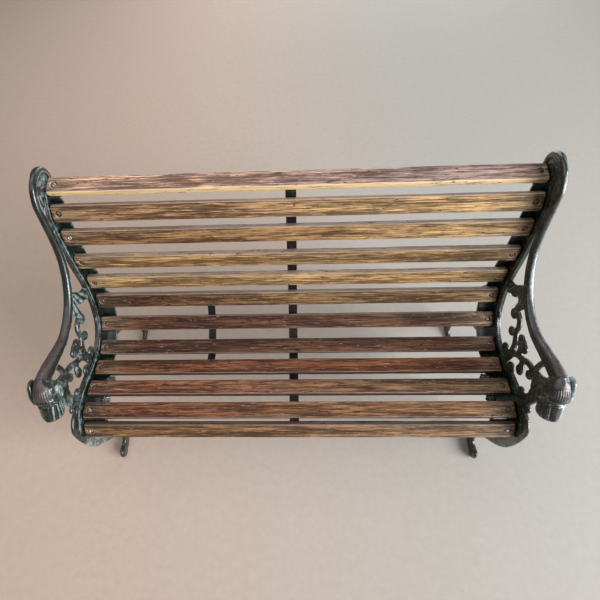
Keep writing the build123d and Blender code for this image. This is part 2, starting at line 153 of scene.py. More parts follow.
def swept(x, path, lift, v, u):
    """Rings along a side-view path: v mm to the side of x, and u mm from the path along lift."""
    return row_points(x + v / 1000, path[:, :1] + lift[:, :1] * u, path[:, 1:2] + lift[:, 1:2] * u)


def closed_tube(rings, *fields):
    """Points, triangles and point values of rings joined in a row and shut by a fan at each end."""
    n, m, _ = rings.shape
    points = np.concatenate([rings.reshape(-1, 3), [rings[0].mean(0)], [rings[-1].mean(0)]])
    ring, spoke = np.meshgrid(np.arange(n - 1), np.arange(m), indexing="ij")
    ring, spoke = ring.ravel(), spoke.ravel()
    after = (spoke + 1) % m
    a, b, c, d = ring * m + spoke, (ring + 1) * m + spoke, (ring + 1) * m + after, ring * m + after
    s = np.arange(m)
    e = (s + 1) % m
    first = np.stack([np.full(m, n * m), s, e], -1)
    last = np.stack([np.full(m, n * m + 1), (n - 1) * m + e, (n - 1) * m + s], -1)
    tris = np.concatenate([np.stack([a, b, c], -1), np.stack([a, c, d], -1), first, last])
    values = [np.r_[np.broadcast_to(f, (n, m)).ravel(), np.mean(f), np.mean(f)] for f in fields]
    return points, tris, values


def mesh_piece(name, points, tris, **attributes):
    """A new object from points and corner numbers, with its faces turned outward."""
    a, b, c = (points[tris[:, k]] for k in range(3))
    if np.einsum("ij,ij->", a, np.cross(b, c)) < 0:
        tris = tris[:, ::-1]
    mesh = bpy.data.meshes.new(name)
    mesh.vertices.add(len(points))
    mesh.vertices.foreach_set("co", np.asarray(points, np.float32).ravel())
    mesh.loops.add(tris.size)
    mesh.loops.foreach_set("vertex_index", tris.astype(np.int32).ravel())
    mesh.polygons.add(len(tris))
    mesh.polygons.foreach_set("loop_start", np.arange(len(tris), dtype=np.int32) * tris.shape[1])
    mesh.update(calc_edges=True)
    mesh.validate()
    mesh.shade_smooth()
    for key, values in attributes.items():
        kind, field = ("FLOAT_VECTOR", "vector") if values.ndim == 2 else ("FLOAT", "value")
        mesh.attributes.new(key, kind, "POINT").data.foreach_set(field, values.astype(np.float32).ravel())
    piece = bpy.data.objects.new(name, mesh)
    bpy.context.scene.collection.objects.link(piece)
    return piece


class Value:
    """A shader socket; + - * with numbers or other values add Math nodes."""

    def __init__(self, shader, socket):
        self.shader, self.socket = shader, socket

    def math(self, operation, first, second):
        """Math node of two values."""
        return self.shader.node("ShaderNodeMath", {"operation": operation}, {0: first, 1: second})

    def __add__(self, other):
        return self.math("ADD", self, other)

    def __sub__(self, other):
        return self.math("SUBTRACT", self, other)

    def __rsub__(self, other):
        return self.math("SUBTRACT", other, self)

    def __mul__(self, other):
        return self.math("MULTIPLY", self, other)

    def band(self, low, high):
        """0 below low, 1 above high and a smooth step between."""
        return self.shader.node("ShaderNodeMapRange", {"interpolation_type": "SMOOTHSTEP"},
                                {"Value": self, "From Min": low, "From Max": high})


class Shader:
    """A procedural material under construction."""

    def __init__(self, name, **constants):
        self.material = bpy.data.materials.new(name)
        self.material.use_nodes = True
        self.tree = self.material.node_tree
        self.surface = self.tree.nodes["Principled BSDF"]
        for key, value in constants.items():
            self.surface.inputs[key.replace("_", " ")].default_value = value

    def node(self, kind, settings=None, sockets=None, out=0):
        """Adds a node: settings first, then a number, colour or link for each input."""
        added = self.tree.nodes.new(kind)
        for key, value in (settings or {}).items():
            setattr(added, key, value)
        for key, value in (sockets or {}).items():
            if isinstance(value, Value):
                self.tree.links.new(value.socket, added.inputs[key])
            else:
                added.inputs[key].default_value = value
        return Value(self, added.outputs[out])

    def place(self):
        """Object coordinates."""
        return self.node("ShaderNodeTexCoord", out="Object")

    def attribute(self, name, out="Fac"):
        """A piece's own point values."""
        return self.node("ShaderNodeAttribute", {"attribute_name": name}, out=out)

    def noise(self, place, scale=1.0, detail=3.0, rough=0.55, stretch=(1, 1, 1), distort=0.0):
        """Fractal noise of place * stretch."""
        stretched = self.node("ShaderNodeVectorMath", {"operation": "MULTIPLY"}, {0: place, 1: stretch})
        return self.node("ShaderNodeTexNoise", {}, {"Vector": stretched, "Scale": scale, "Detail": detail,
                                                    "Roughness": rough, "Distortion": distort})

    def blend(self, share, first, second, kind="MIX"):
        """Colour mix from first to second."""
        return self.node("ShaderNodeMix", {"data_type": "RGBA", "blend_type": kind},
                         {0: share, 6: first, 7: second}, out=2)

    def layered(self, colour, *layers):
        """A colour with others over it, each given as its share and the colour."""
        for share, over in layers:
            colour = self.blend(share, colour, over)
        return colour

    def set(self, **links):
        """Feeds sockets of the surface."""
        for key, value in links.items():
            self.tree.links.new(value.socket, self.surface.inputs[key.replace("_", " ")])

    def bump(self, height, distance, strength=1.0):
        """Roughens the surface by a height."""
        sockets = {"Height": height, "Distance": distance, "Strength": strength}
        self.set(Normal=self.node("ShaderNodeBump", {}, sockets))


def rgb(red, green, blue):
    """Scene colour of a displayed colour given as 0 to 255."""
    shown = np.array([red, green, blue]) / 255
    linear = np.where(shown <= 0.04045, shown / 12.92, ((shown + 0.055) / 1.055) ** 2.4)
    return (*linear, 1.0)


def casting_paint():
    """Old bottle-green paint: verdigris bloom in sheltered relief, which on some pieces also carries painted
    highlight and shade, brown iron where it is handled, chips of rust, and pale chalk that is also a painted
    highlight where it faces the key light."""
    paint = Shader("casting_iron", Metallic=0.0, Coat_Roughness=0.22, Specular_IOR_Level=0.6)
    place = paint.place()
    cloud = paint.noise(place, 30.0, 5.0, 0.65)
    mottle = paint.noise(place, 85.0, 5.0, 0.7)
    grit = paint.noise(place, 300.0, 4.0, 0.65)
    bottle_green, lighter_green = rgb(11, 19, 15), rgb(22, 35, 28)
    verdigris, pale_bloom = rgb(128, 146, 148), rgb(204, 212, 206)
    brown_iron, scuffed_iron = rgb(77, 61, 62), rgb(150, 132, 122)
    grey_chalk, white_chalk = rgb(122, 136, 140), rgb(196, 206, 206)
    chipped_rust = rgb(70, 46, 34)
    bloom = paint.attribute("bloom") + (cloud - 0.5) * 1.8 + (mottle - 0.5) * 1.7
    worn = paint.attribute("worn") + (grit - 0.5) * 0.9 + (mottle - 0.5) * 1.2
    chalk = paint.attribute("chalk") + (mottle - 0.5) * 1.2 + (cloud - 0.5) * 0.8
    colour = paint.layered(
        paint.blend(cloud.band(0.42, 0.62), bottle_green, lighter_green),
        (bloom.band(0.40, 1.15) * 0.85, verdigris),
        (bloom.band(1.15, 1.7) * 0.85, pale_bloom),
        (worn.band(0.45, 1.05) * 0.8, brown_iron),
        (worn.band(1.05, 1.35) * grit.band(0.5, 0.6) * 0.6, scuffed_iron),
        # Pale chalk greys: chalky paint, and a painted highlight on the outer side that faces the key light.
        (chalk.band(0.35, 1.05) * 0.7, grey_chalk),
        (chalk.band(0.95, 1.45) * 0.85, white_chalk),
        (mottle.band(0.64, 0.70) * 0.22, chipped_rust),
    )
    rough = mottle * 0.30 + bloom.band(0.5, 1.1) * 0.15 + worn.band(0.2, 0.8) * 0.12 + 0.14
    gloss = (mottle * -1).band(-0.64, -0.42) * (1 - worn.band(0.3, 0.9) * 0.5)
    gloss = gloss * (1 - bloom.band(0.4, 1.1) * 0.45)
    paint.set(Base_Color=colour, Roughness=rough, Coat_Weight=gloss)
    paint.bump(grit * 0.5 + mottle * 0.5, 0.0011, 0.7)
    return paint.material


PAINT = casting_paint()


def casting_pieces(name, points, tris, bloom, worn, chalk=None):
    """The same piece on the +X casting and, mirrored, on the -X one. The right one gets less bloom and wear,
    painted shade for inner faces turned from the key light; only its outer side gets pale chalk, chalky paint
    and a painted highlight."""
    if chalk is None:
        chalk = OUTER_CHALK_AND_HIGHLIGHT * smooth(0.0005, 0.003, points[:, 0] - CASTING_X)
    for side, sign, share in (("left", -1, 0.0), ("right", 1, 1.0)):
        piece = mesh_piece(
            side + "_" + name, points * [sign, 1, 1], tris, bloom=bloom * (1 - RIGHT_BLOOM_LOSS_AS_SHADE * share),
            worn=worn - RIGHT_WEAR_LOSS_AS_SHADE * share, chalk=chalk * share,
        )
        piece.data.materials.append(PAINT)
        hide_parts(side + "_end_frame")
        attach(piece, "root")


def casting_tube(name, rings, bloom, worn=0.0, chalk=None):
    """Rings closed to a tube, on both castings."""
    fields = (bloom, worn) if chalk is None else (bloom, worn, chalk)
    points, tris, fields = closed_tube(rings, *fields)
    casting_pieces(name, points, tris, *fields)


path = curve(RAIL_PATH, RAIL_SAMPLES)
turn = full_turn(RAIL_SIDES)
ease = np.maximum(quarter_round(np.linspace(0, 1, RAIL_SAMPLES), RAIL_END_SHARE), RAIL_END_LEAST)[:, None]
width = np.interp(path[:, 0], *np.array(RAIL_WIDTHS, float).T)[:, None] / 2 * ease
depth = path[:, 2:3] / 2 * ease
across = square_off(np.cos(turn), 2 / RAIL_SQUARENESS)
up = square_off(np.sin(turn), 2 / RAIL_SQUARENESS)
side_turn = np.degrees(np.arctan2(np.sin(turn), np.abs(np.cos(turn))))
bead = 1.1 * hump(side_turn, RAIL_BEAD_ANGLE, 7) - 0.9 * hump(side_turn, 2, 7)
pitting = 0.35 * ripple(3, path[:, :1] * 0.16, path[:, 1:2] * 0.16, np.cos(turn) * 3, np.sin(turn) * 3)
u = up * (depth - RAIL_SINK_UP) + (bead + pitting) * np.sin(turn)
v = across * (width - RAIL_SINK_ACROSS) + (bead + pitting) * np.cos(turn)
on_top = np.clip(up, 0, 1)
worn = 0.8 * on_top * smooth(430, 180, path[:, :1]) + 0.25 * on_top**2
bloom = 0.95 * hump(side_turn, RAIL_BEAD_ANGLE, 8) + 0.12 * (up < -0.2)
# Pale chalk on the rail's outer side, facing the key light: chalky paint and a painted highlight.
chalk = 0.85 * smooth(-0.1, 0.5, across) * smooth(-0.9, 0.5, up)
casting_tube("top_rail", swept(RAIL_X, path, outline_normals(path), v, u), bloom, worn, chalk)


# ---- rims and flanges ----
# The curved bar of each iron casting beside the slat ends, beaded along its edges, and the ledge under
# the slats that the bolts go through. All of it is cast in one with the rail.

# (y, z) of the middle of each slat's top face, and its lean in degrees, from the front slat to the top one.
STATIONS = [
    (30, 350, 50), (84, 386, 4), (152, 385, -8), (221, 369, -3), (287, 367, 13), (355, 395, 35),
    (404, 453, 58), (428, 523, 75), (442, 611, 76), (463, 697, 69), (488, 768, 61), (541, 820, 10),
]
SLAT_HALF_WIDTH = 23
SLAT_THICK = 21
# How far the rim stands above each slat's top face, and below it.
RIM_PROUD = [32, 32, 25, 21, 17, 18, 23, 20, 15, 14, 13, 14]
RIM_LOW = -32
RIM_HALF_WIDTH = 7.5
RIM_SAMPLES = 460
RIM_SIDES = 64
RIM_SQUARENESS = 7
RIM_SINK_UP = 0.5
RIM_SINK_ACROSS = 0.8
PEARLS = 110
FLANGE_THICK = 8
# (first slat, slat after the last, reach inward in mm).
FLANGE_RUNS = [(0, 3, 67), (2, 7, 46), (6, 12, 33)]
FLANGE_OUTER_X = 0.616
FLANGE_STEP = 2.5
FLANGE_SIDES = 48
FLANGE_END_ROUND = 9
FLANGE_SQUARENESS_ACROSS, FLANGE_SQUARENESS_UP = 9, 4
# Pale bloom on the front end of the first ledge, where it catches the key light: painted light.
FRONT_TIP_PAINTED_LIGHT = 0.7


def beside_slat(number, along, out):
    """Side-view point near a slat: along its width and out of its face, in mm."""
    y, z, lean = STATIONS[number]
    c, s = np.cos(np.radians(lean)), np.sin(np.radians(lean))
    return (y + c * along - s * out, z + s * along + c * out)


def rim_middle(number):
    """Middle of the rim beside a slat, with the rim's half-depth there."""
    half_depth = (RIM_PROUD[number] - RIM_LOW) / 2
    return beside_slat(number, 0, (RIM_PROUD[number] + RIM_LOW) / 2) + (half_depth,)


middle = curve([rim_middle(number) for number in range(len(STATIONS))], RIM_SAMPLES)
turn = full_turn(RIM_SIDES)
across = square_off(np.cos(turn), 2 / RIM_SQUARENESS)
up = square_off(np.sin(turn), 2 / RIM_SQUARENESS)
on_top = up > 0.9
at = np.linspace(0, 1, RIM_SAMPLES)[:, None]
groove = 1.3 * on_top * np.cos(np.clip(across, -1, 1) * np.pi / 2) ** 0.7
pearls = 0.8 * on_top * hump(across, 0, 0.45) * np.maximum(np.sin(at * 2 * np.pi * PEARLS), 0)
line = 0.8 * hump(up, 0.62, 0.10) - 0.6 * hump(up, 0.86, 0.06)
v = across * (RIM_HALF_WIDTH - RIM_SINK_ACROSS + line)
u = up * (middle[:, 2:3] - RIM_SINK_UP) - groove + pearls
worn = 0.5 * hump(np.abs(across), 1, 0.25) * (up > 0.8)
bloom = 0.75 * hump(up, 0.62, 0.12) + 0.4 * on_top * hump(np.abs(across), 0.8, 0.3) + 0.2 * (across < -0.8)
# Pale chalk on the rim's outer side, facing the key light: chalky paint and a painted highlight.
chalk = (0.40 + 0.5 * smooth(0.5, 0.9, up)) * smooth(0.6, 0.95, across)
casting_tube("rim", swept(CASTING_X, middle, -outline_normals(middle), v, u), bloom, worn, chalk)

for number, (first, last, reach) in enumerate(FLANGE_RUNS):
    bends = np.array([
        beside_slat(i, side * SLAT_HALF_WIDTH, -SLAT_THICK - FLANGE_THICK / 2)
        for i in range(first, last) for side in (-1, 1)
    ])
    at = np.r_[0, np.cumsum(np.linalg.norm(np.diff(bends, axis=0), axis=1))]
    even = np.linspace(0, at[-1], int(at[-1] / FLANGE_STEP))
    path = np.stack([np.interp(even, at, bends[:, k]) for k in (0, 1)], 1)
    end = np.minimum(even, at[-1] - even)
    inward = reach * np.sqrt(1 - 0.35 * (1 - np.clip(end / FLANGE_END_ROUND, 0, 1)) ** 2)[:, None]
    turn = full_turn(FLANGE_SIDES)
    across = square_off(np.cos(turn), 2 / FLANGE_SQUARENESS_ACROSS)
    up = square_off(np.sin(turn), 2 / FLANGE_SQUARENESS_UP)
    lump = 0.25 * ripple(number, path[:, :1] * 0.3, path[:, 1:2] * 0.3, across * 4, up * 2)
    u = up * (FLANGE_THICK / 2 - 0.3) + np.minimum(lump, 0)
    v = -inward / 2 + across * inward / 2
    # Painted light: the front ledge's tip made pale where it catches the key light.
    tip_bloom = (FRONT_TIP_PAINTED_LIGHT if number == 0 else 0.0) * smooth(14, 4, even)[:, None]
    rings = swept(FLANGE_OUTER_X, path, outline_normals(path), v, u)
    casting_tube("flange_" + str(number + 1), rings, 0.45 * hump(across, -1, 0.3) + 0.1 + tip_bloom)

# Cast rosettes on the inner ends of the ledge, in the two gaps behind the front slats: (slat before, x).
ROSETTE_GAPS = [(1, 0.559), (2, 0.5615)]
ROSETTE_RADIUS = 13.5
ROSETTE_HEIGHT = 6.5
PETALS = 6
for first, spot_x in ROSETTE_GAPS:
    front_end = np.array(beside_slat(first, SLAT_HALF_WIDTH, -SLAT_THICK))
    back_end = np.array(beside_slat(first + 1, -SLAT_HALF_WIDTH, -SLAT_THICK))
    spot = (front_end + back_end) / 2
    run = (back_end - front_end) / np.linalg.norm(back_end - front_end)
    rise = np.radians(np.linspace(-25, 90, 60))[:, None]
    turn = full_turn(90)
    petals = np.cos(PETALS * turn)
    reach = ROSETTE_RADIUS * np.cos(rise) * (1 + 0.10 * petals * np.cos(rise))
    lift = ROSETTE_HEIGHT * np.sin(rise) + 1.5 * petals * hump(reach, 8.5, 3)
    lift = lift - 1.6 * hump(reach, 4.4, 1.2) - 0.6
    along = np.sin(turn) * reach
    y = spot[0] + run[0] * along - run[1] * lift
    z = spot[1] + run[1] * along + run[0] * lift
    rings = row_points(spot_x + np.cos(turn) * reach / 1000, y, z)
    casting_tube("rosette_" + str(first), rings, 0.75 + 0.3 * petals * hump(reach, 8.5, 3))


# ---- panels and rolls ----
# The solid web between the top rail and the rim up the back, with a running scroll cast on it in relief,
# and the round roll at the top that the last slat lies against.
ROLL_CENTRE = (540, 824)
ROLL_RADIUS = 41
ROLL_BOSS = (522, 840)
PANEL_HALF = 5.0
PANEL_MOST = 8.6
PANEL_STEP = 1.2
SCROLLS = 9
SPINE_SAMPLES = 400
STRIP_SAMPLES = 160
FAR_OUTSIDE = -40.0
BATCH = 4000


def strip_field(grid, samples, power=2.0):
    """Depth inside a strip, w - d, its rounded half-thickness, t * (1 - (d / w) ** p) ** (1 / p), and d / w
    with the sign of the side. Samples are rows of y, z, half-width w and half-thickness t."""
    level = np.full(len(grid), FAR_OUTSIDE)
    height, offset = np.zeros(len(grid)), np.zeros(len(grid))
    reach = samples[:, 2].max() + 8
    near = np.all((grid > samples[:, :2].min(0) - reach) & (grid < samples[:, :2].max(0) + reach), axis=1)
    at = np.flatnonzero(near)
    tangent = np.gradient(samples[:, :2], axis=0)
    tangent = tangent / np.linalg.norm(tangent, axis=1)[:, None]
    for part in np.array_split(at, max(1, len(at) // BATCH)):
        away = grid[part][:, None] - samples[None, :, :2]
        depths = samples[None, :, 2] - np.hypot(away[..., 0], away[..., 1])
        best = depths.argmax(1)
        row = np.arange(len(part))
        gap = away[row, best]
        w, t = samples[best, 2], samples[best, 3]
        level[part] = depths[row, best]
        d = np.clip((w - level[part]) / w, 0, 1)
        height[part] = t * (1 - d**power) ** (1 / power)
        cross = tangent[best, 0] * gap[:, 1] - tangent[best, 1] * gap[:, 0]
        offset[part] = np.sign(cross) * d
    return level, height, offset


def area_field(grid, outline):
    """Depth inside a closed outline: distance to its nearest point, negative outside (even-odd rule)."""
    level = np.full(len(grid), FAR_OUTSIDE)
    near = np.flatnonzero(np.all((grid > outline.min(0) - 12) & (grid < outline.max(0) + 12), axis=1))
    y0, z0 = outline.T
    y1, z1 = np.roll(outline, -1, axis=0).T
    for part in np.array_split(near, max(1, len(near) // BATCH)):
        gy, gz = grid[part][:, :1], grid[part][:, 1:]
        spans = (z0 > gz) != (z1 > gz)
        hit = gy < y0 + (gz - z0) * (y1 - y0) / np.where(z1 == z0, 1e-9, z1 - z0)
        inside = (spans & hit).sum(1) % 2 == 1
        level[part] = np.where(inside, 1, -1) * np.hypot(gy - y0, gz - z0).min(1)
    return level


def melt(levels, blend):
    """Smooth union of depths: blend * log(sum(exp(level / blend)))."""
    total = sum(np.exp(np.clip(level, FAR_OUTSIDE, -FAR_OUTSIDE) / blend) for level in levels)
    return blend * np.log(total + 1e-12)


def side_grid(low, high, step):
    """Side-view grid points, and its size."""
    y, z = np.arange(low[0], high[0], step), np.arange(low[1], high[1], step)
    gy, gz = np.meshgrid(y, z, indexing="ij")
    return np.stack([gy.ravel(), gz.ravel()], -1), gy.shape


def seen_from(grid, spot):
    """Distance and direction of grid points from a spot."""
    away = grid - np.array(spot)
    return np.hypot(away[:, 0], away[:, 1]), np.arctan2(away[:, 1], away[:, 0])


def casting_plate(name, grid, shape, step, level, height, bloom):
    """Closed relief on both castings: points with depth > 0 stand out by +-height from the plate's middle.
    Points just outside move down the gradient of the depth onto its zero line, shared by both faces."""
    slope = np.stack([s.ravel() for s in np.gradient(level.reshape(shape), step)], -1)
    inside = level > 0.35 * step
    cell = np.arange(len(grid)).reshape(shape)
    corners = np.stack([cell[:-1, :-1], cell[1:, :-1], cell[1:, 1:], cell[:-1, 1:]], -1).reshape(-1, 4)
    corners = corners[inside[corners].any(1)]
    edge = np.zeros(len(grid), bool)
    edge[corners.ravel()] = True
    edge &= ~inside
    size = np.maximum((slope**2).sum(1), 0.25)
    shift = np.where(edge, np.clip(-level, -step, step) / size, 0)
    flat = grid + shift[:, None] * slope
    front = np.full(len(grid), -1)
    front[inside] = np.arange(inside.sum())
    front[edge] = inside.sum() + np.arange(edge.sum())
    back = front.copy()
    back[inside] = inside.sum() + edge.sum() + np.arange(inside.sum())
    order = np.r_[np.flatnonzero(inside), np.flatnonzero(edge), np.flatnonzero(inside)]
    x = np.r_[height[inside], np.zeros(edge.sum()), -height[inside]]
    points = row_points(CASTING_X + x / 1000, flat[order, 0], flat[order, 1])
    one, two = front[corners], back[corners][:, ::-1]
    tris = np.concatenate([f[:, k] for f in (one, two) for k in ([0, 1, 2], [0, 2, 3])])
    casting_pieces(name, points, tris, bloom[order], np.zeros(len(order)))


# The web's outline: the rail from the top of the roll down to the arm, and the rim beside the top slats.
rail_line = curve(RAIL_PATH[:-1], 600)[:, :2]
rail_line = rail_line[(rail_line[:, 1] > 626) & ((rail_line[:, 0] < 536) | (rail_line[:, 1] > 850))]
rim_line = curve([beside_slat(i, 0, 0) for i in range(8, 12)], 160)
grid, shape = side_grid((372, 615), (586, 870), PANEL_STEP)
web = area_field(grid, np.concatenate([rail_line, rim_line[::-1]]))
roll = ROLL_RADIUS - seen_from(grid, ROLL_CENTRE)[0]
level = melt([web, roll], 2.0)
# The running scroll: a strip that swings about the middle of the web, with a curl in each bend.
rail_side = rail_line[np.linspace(len(rail_line) - 1, 0, 60).astype(int)]
rim_side = rim_line[np.linspace(0, len(rim_line) - 1, 60).astype(int)]
spine = curve((rail_side + rim_side) / 2, SPINE_SAMPLES)
swing = np.sin(np.linspace(0, SCROLLS * np.pi, SPINE_SAMPLES))
normal = outline_normals(spine)
line = spine + normal * (4.0 * swing)[:, None]
_, ridge, _ = strip_field(grid, np.column_stack([line, np.tile([3.2, 2.6], (SPINE_SAMPLES, 1))]))
curls = np.zeros(len(grid))
for number in range(SCROLLS):
    at = int((number + 0.5) / SCROLLS * SPINE_SAMPLES)
    radius, twist = seen_from(grid, spine[at] - normal[at] * 5.5 * np.sign(swing[at]))
    curl = hump(radius, 5 + 0.8 * np.sin(twist + number), 1.6) * 2.0 + hump(radius, 0, 2.0) * 2.4
    curls = np.maximum(curls, curl)
relief = np.maximum(ridge, curls) * smooth(4, 9, web)
disc = smooth(0, 3, roll) * (2.4 - 1.6 * hump(roll, 9, 3) + 1.4 * hump(roll, 26, 5) - 1.0 * hump(roll, 18, 3))
boss = 3.2 * hump(seen_from(grid, ROLL_BOSS)[0], 0, 5)
height = PANEL_HALF * quarter_round(level, 3)
height = np.where(level > 0, height + np.maximum(relief * (roll < 3), disc) + boss * (roll > 4), 0)
bloom = np.clip(0.30 + 0.35 * relief / 2.5 + 0.10 * (roll > 3) + 0.5 * boss / 3.2, 0, 1)
casting_plate("panel", grid, shape, PANEL_STEP, level, np.minimum(height, PANEL_MOST), bloom)


# ---- openwork vines ----
# Cast vine under each arm: a lobed leaf hanging from the rail, stems, round curled buds, a ring and a flower.
# It is open between its stems, and cast in one with the rail above it and the rim below.
VINE_STEP = 1.1
# Outline of the leaf, and the point that its flutes fan out from.
LEAF = [
    (303, 578), (309, 547), (314, 530), (320, 512), (332, 505), (338, 515), (341, 532), (348, 541),
    (354, 540), (357, 527), (363, 519), (378, 511), (388, 500), (402, 505), (410, 530), (392, 542),
    (368, 577), (374, 604), (345, 598),
]
LEAF_HUB = (352, 640)
# Outline of the solid part below the hound's head.
NECK = [
    (90, 600), (116, 590), (117, 566), (121, 550), (130, 537), (141, 530), (152, 520),
    (150, 502), (138, 492), (126, 484), (116, 472), (110, 458), (80, 458), (78, 540),
]
# Strips: (y, z, half-width, half-thickness) along the middle of each.
STEMS = [
    [(324, 514, 11, 6), (307, 514, 10, 6), (294, 512, 9.5, 6), (283, 503, 8.5, 6), (277, 490, 8, 6),
     (276, 472, 9, 6)],
    [(277, 482, 8, 5.5), (263, 471, 9, 6), (251, 459, 8.5, 6), (242, 442, 7.5, 6), (236, 400, 10, 6)],
    [(156, 580, 9.5, 6), (155, 560, 8.5, 6), (155, 540, 8.5, 6), (152, 520, 9, 6), (146, 502, 10, 6)],
    [(150, 504, 9, 6), (166, 501, 9, 6), (181, 491, 9, 6), (192, 478, 8.5, 6), (203, 466, 9, 6),
     (214, 455, 8, 6), (222, 441, 7.5, 6), (228, 400, 10, 6)],
    [(195, 473, 7, 5.5), (186, 462, 10, 6), (178, 450, 13, 6)],
    [(152, 506, 9, 5.5), (151, 494, 10, 6), (150, 482, 12, 6)],
    [(229, 458, 16, 5), (230, 478, 18.5, 5), (230, 494, 17, 5)],
]
# (y, z, radius, hand of the curl).
BUDS = [
    (323, 497, 16, 1), (286, 460, 14.5, 1), (177, 443, 15.5, -1), (150, 481, 13, 1), (217, 495, 14.5, -1),
    (245, 496, 14, 1), (198, 403, 17.5, -1), (258, 403, 17, 1), (123, 424, 14, 1), (73, 430, 12, -1),
]
FLOWER = (233, 461)
FLOWER_RADIUS = 20
# Half sizes of the oval hole in the flower.
FLOWER_EYE = (7.5, 14)
VINE_WEB, VINE_MOST = 3.4, 8.0
POST = [(94, 545, 20, 6), (94, 490, 19, 6.5), (94, 450, 16.5, 6.5), (95, 424, 21, 6.5), (96, 395, 29, 6.5)]


def straight_edges(corners):
    """Points along the straight lines that join corners in a row."""
    steps = np.linspace(0, 1, 40)[:, None]
    return np.concatenate([(1 - steps) * a + steps * b for a, b in zip(corners[:-1], corners[1:])])


def round_top(share, power):
    """Height of a rounded top, 1 in its middle and 0 from share 1 outwards: sqrt(1 - share ** power)."""
    return np.sqrt(np.clip(1 - share**power, 0, 1))


def add_form(forms, depth, height):
    """Adds a form to a relief: its depth, and its height inside."""
    forms.append((depth, np.where(depth > 0, height, 0)))


def joined(forms, blend, web_half, most):
    """Depth and height of forms melted together, with a thin web where they meet."""
    level = melt([depth for depth, _ in forms], blend)
    height = np.maximum.reduce([height for _, height in forms])
    return level, np.clip(np.maximum(height, web_half * quarter_round(level, 3)), 0, most)


grid, shape = side_grid((50, 370), (425, 612), VINE_STEP)
forms = []
leaf_edge = np.concatenate([curve(LEAF[1:-2], 400), np.array([LEAF[-2], LEAF[-1], LEAF[0]], float)])
leaf = area_field(grid, np.concatenate([leaf_edge, straight_edges(leaf_edge[[-4, -3, -2, -1, 0]])]))
away = grid - LEAF_HUB
fan = np.arctan2(away[:, 0], -away[:, 1])
length = np.hypot(away[:, 0], away[:, 1])
flute = np.cos(fan * 34 + 0.02 * length)
swell = 5.6 * quarter_round(leaf, 7)
add_form(forms, leaf, swell - 0.6 + 2.3 * flute * smooth(0, 5, leaf) * smooth(30, 70, length))
# Paler on the flute crests and darker in the grooves: bloom with a painted highlight and shade of the flutes.
flute_bloom_and_light = np.maximum((0.6 + 0.8 * flute) * (leaf > -2), 0)
neck = area_field(grid, straight_edges(np.array(NECK + NECK[:1], float)))
wave = 1.2 * np.cos(grid[:, 0] * 0.45 + 1.4 * np.sin(grid[:, 1] * 0.08))
wave = wave + 0.8 * ripple(31, grid[:, 0] * 0.2, grid[:, 1] * 0.2, count=8)
add_form(forms, neck, 5.0 * quarter_round(neck, 5) + wave * smooth(0, 4, neck))
for path in STEMS:
    depth, height, offset = strip_field(grid, curve(path, STRIP_SAMPLES), 2.2)
    vein = -1.0 * hump(offset, 0.35, 0.16) + 0.5 * hump(offset, -0.2, 0.25)
    add_form(forms, depth, height + vein * smooth(0, 2, depth))
depth, height, offset = strip_field(grid, curve(POST, STRIP_SAMPLES), 4)
carve = 1.5 * ripple(12, grid[:, 0] * 0.33, grid[:, 1] * 0.28, count=8)
carve = carve + 1.0 * hump(np.abs(offset), 0.75, 0.12)
add_form(forms, depth, height * 0.9 + carve * smooth(0, 4, depth))
for y, z, radius, hand in BUDS:
    reach, twist = seen_from(grid, (y, z))
    curl = reach / radius - 0.12 * ((twist * hand / np.pi + 1) % 2)
    dome = 6.2 * round_top(reach / radius, 2.2)
    dome = dome - 1.7 * hump(curl, 0.45, 0.09) + 0.6 * hump(reach, 0, radius * 0.22)
    add_form(forms, radius - reach, np.maximum(dome, 0))
reach, twist = seen_from(grid, FLOWER)
petals = np.cos(PETALS * twist)
ring = 6.0 * round_top((reach - 13) / 7.5, 2) + 0.9 * petals * hump(reach, 15, 4)
add_form(forms, FLOWER_RADIUS - 1.6 + 1.6 * petals - reach, ring)
level, height = joined(forms, 1.3, VINE_WEB, VINE_MOST)
away = grid - FLOWER
oval = np.hypot(away[:, 0] / FLOWER_EYE[0], away[:, 1] / FLOWER_EYE[1])
eye = np.maximum((oval - 1) * FLOWER_EYE[0] * 1.2, FAR_OUTSIDE)
level = np.where(eye < 6, np.minimum(level, eye), level)
height = np.where(eye < 2.5, height * quarter_round(eye, 2.5), height)
height = height * quarter_round(level, 1.6)
bloom = np.clip(0.50 + 0.5 * flute_bloom_and_light + 0.12 * ripple(5, grid[:, 0] * 0.05, grid[:, 1] * 0.05), 0, 1)
casting_plate("vine", grid, shape, VINE_STEP, level, height, bloom)


# ---- legs ----
# S-shaped legs with a rib down the middle, the scroll brackets beside them, and the paws they stand on.
# They are cast in one with the rim above them and painted like it.
LEG_STEP = 1.7
# Front and back edge of each leg, from the seat down.
FRONT_LEG = (
    [(8, 376), (2, 340), (0, 300), (2, 262), (12, 226), (28, 190), (45, 155), (57, 119), (65, 84), (67, 30)],
    [(104, 366), (86, 310), (84, 250), (90, 190), (97, 140), (101, 90), (99, 30)],
)
REAR_LEG = (
    [(352, 372), (374, 310), (399, 246), (429, 180), (454, 125), (472, 85), (489, 48), (491, 30)],
    [(424, 420), (433, 290), (448, 250), (465, 210), (491, 145), (507, 95), (519, 48), (519, 30)],
)
BRACKETS = [
    [(84, 214, 7, 5), (112, 224, 7.5, 6), (138, 254, 7.5, 6), (158, 300, 7.5, 6), (196, 350, 7.5, 6)],
    [(428, 226, 7, 5), (396, 250, 7.5, 6), (364, 278, 7.5, 6), (332, 306, 7.5, 6), (300, 344, 7.5, 6)],
]
BRACKET_EYES = [(118, 250, 14), (394, 276, 14)]
FOOT_X = 0.6155
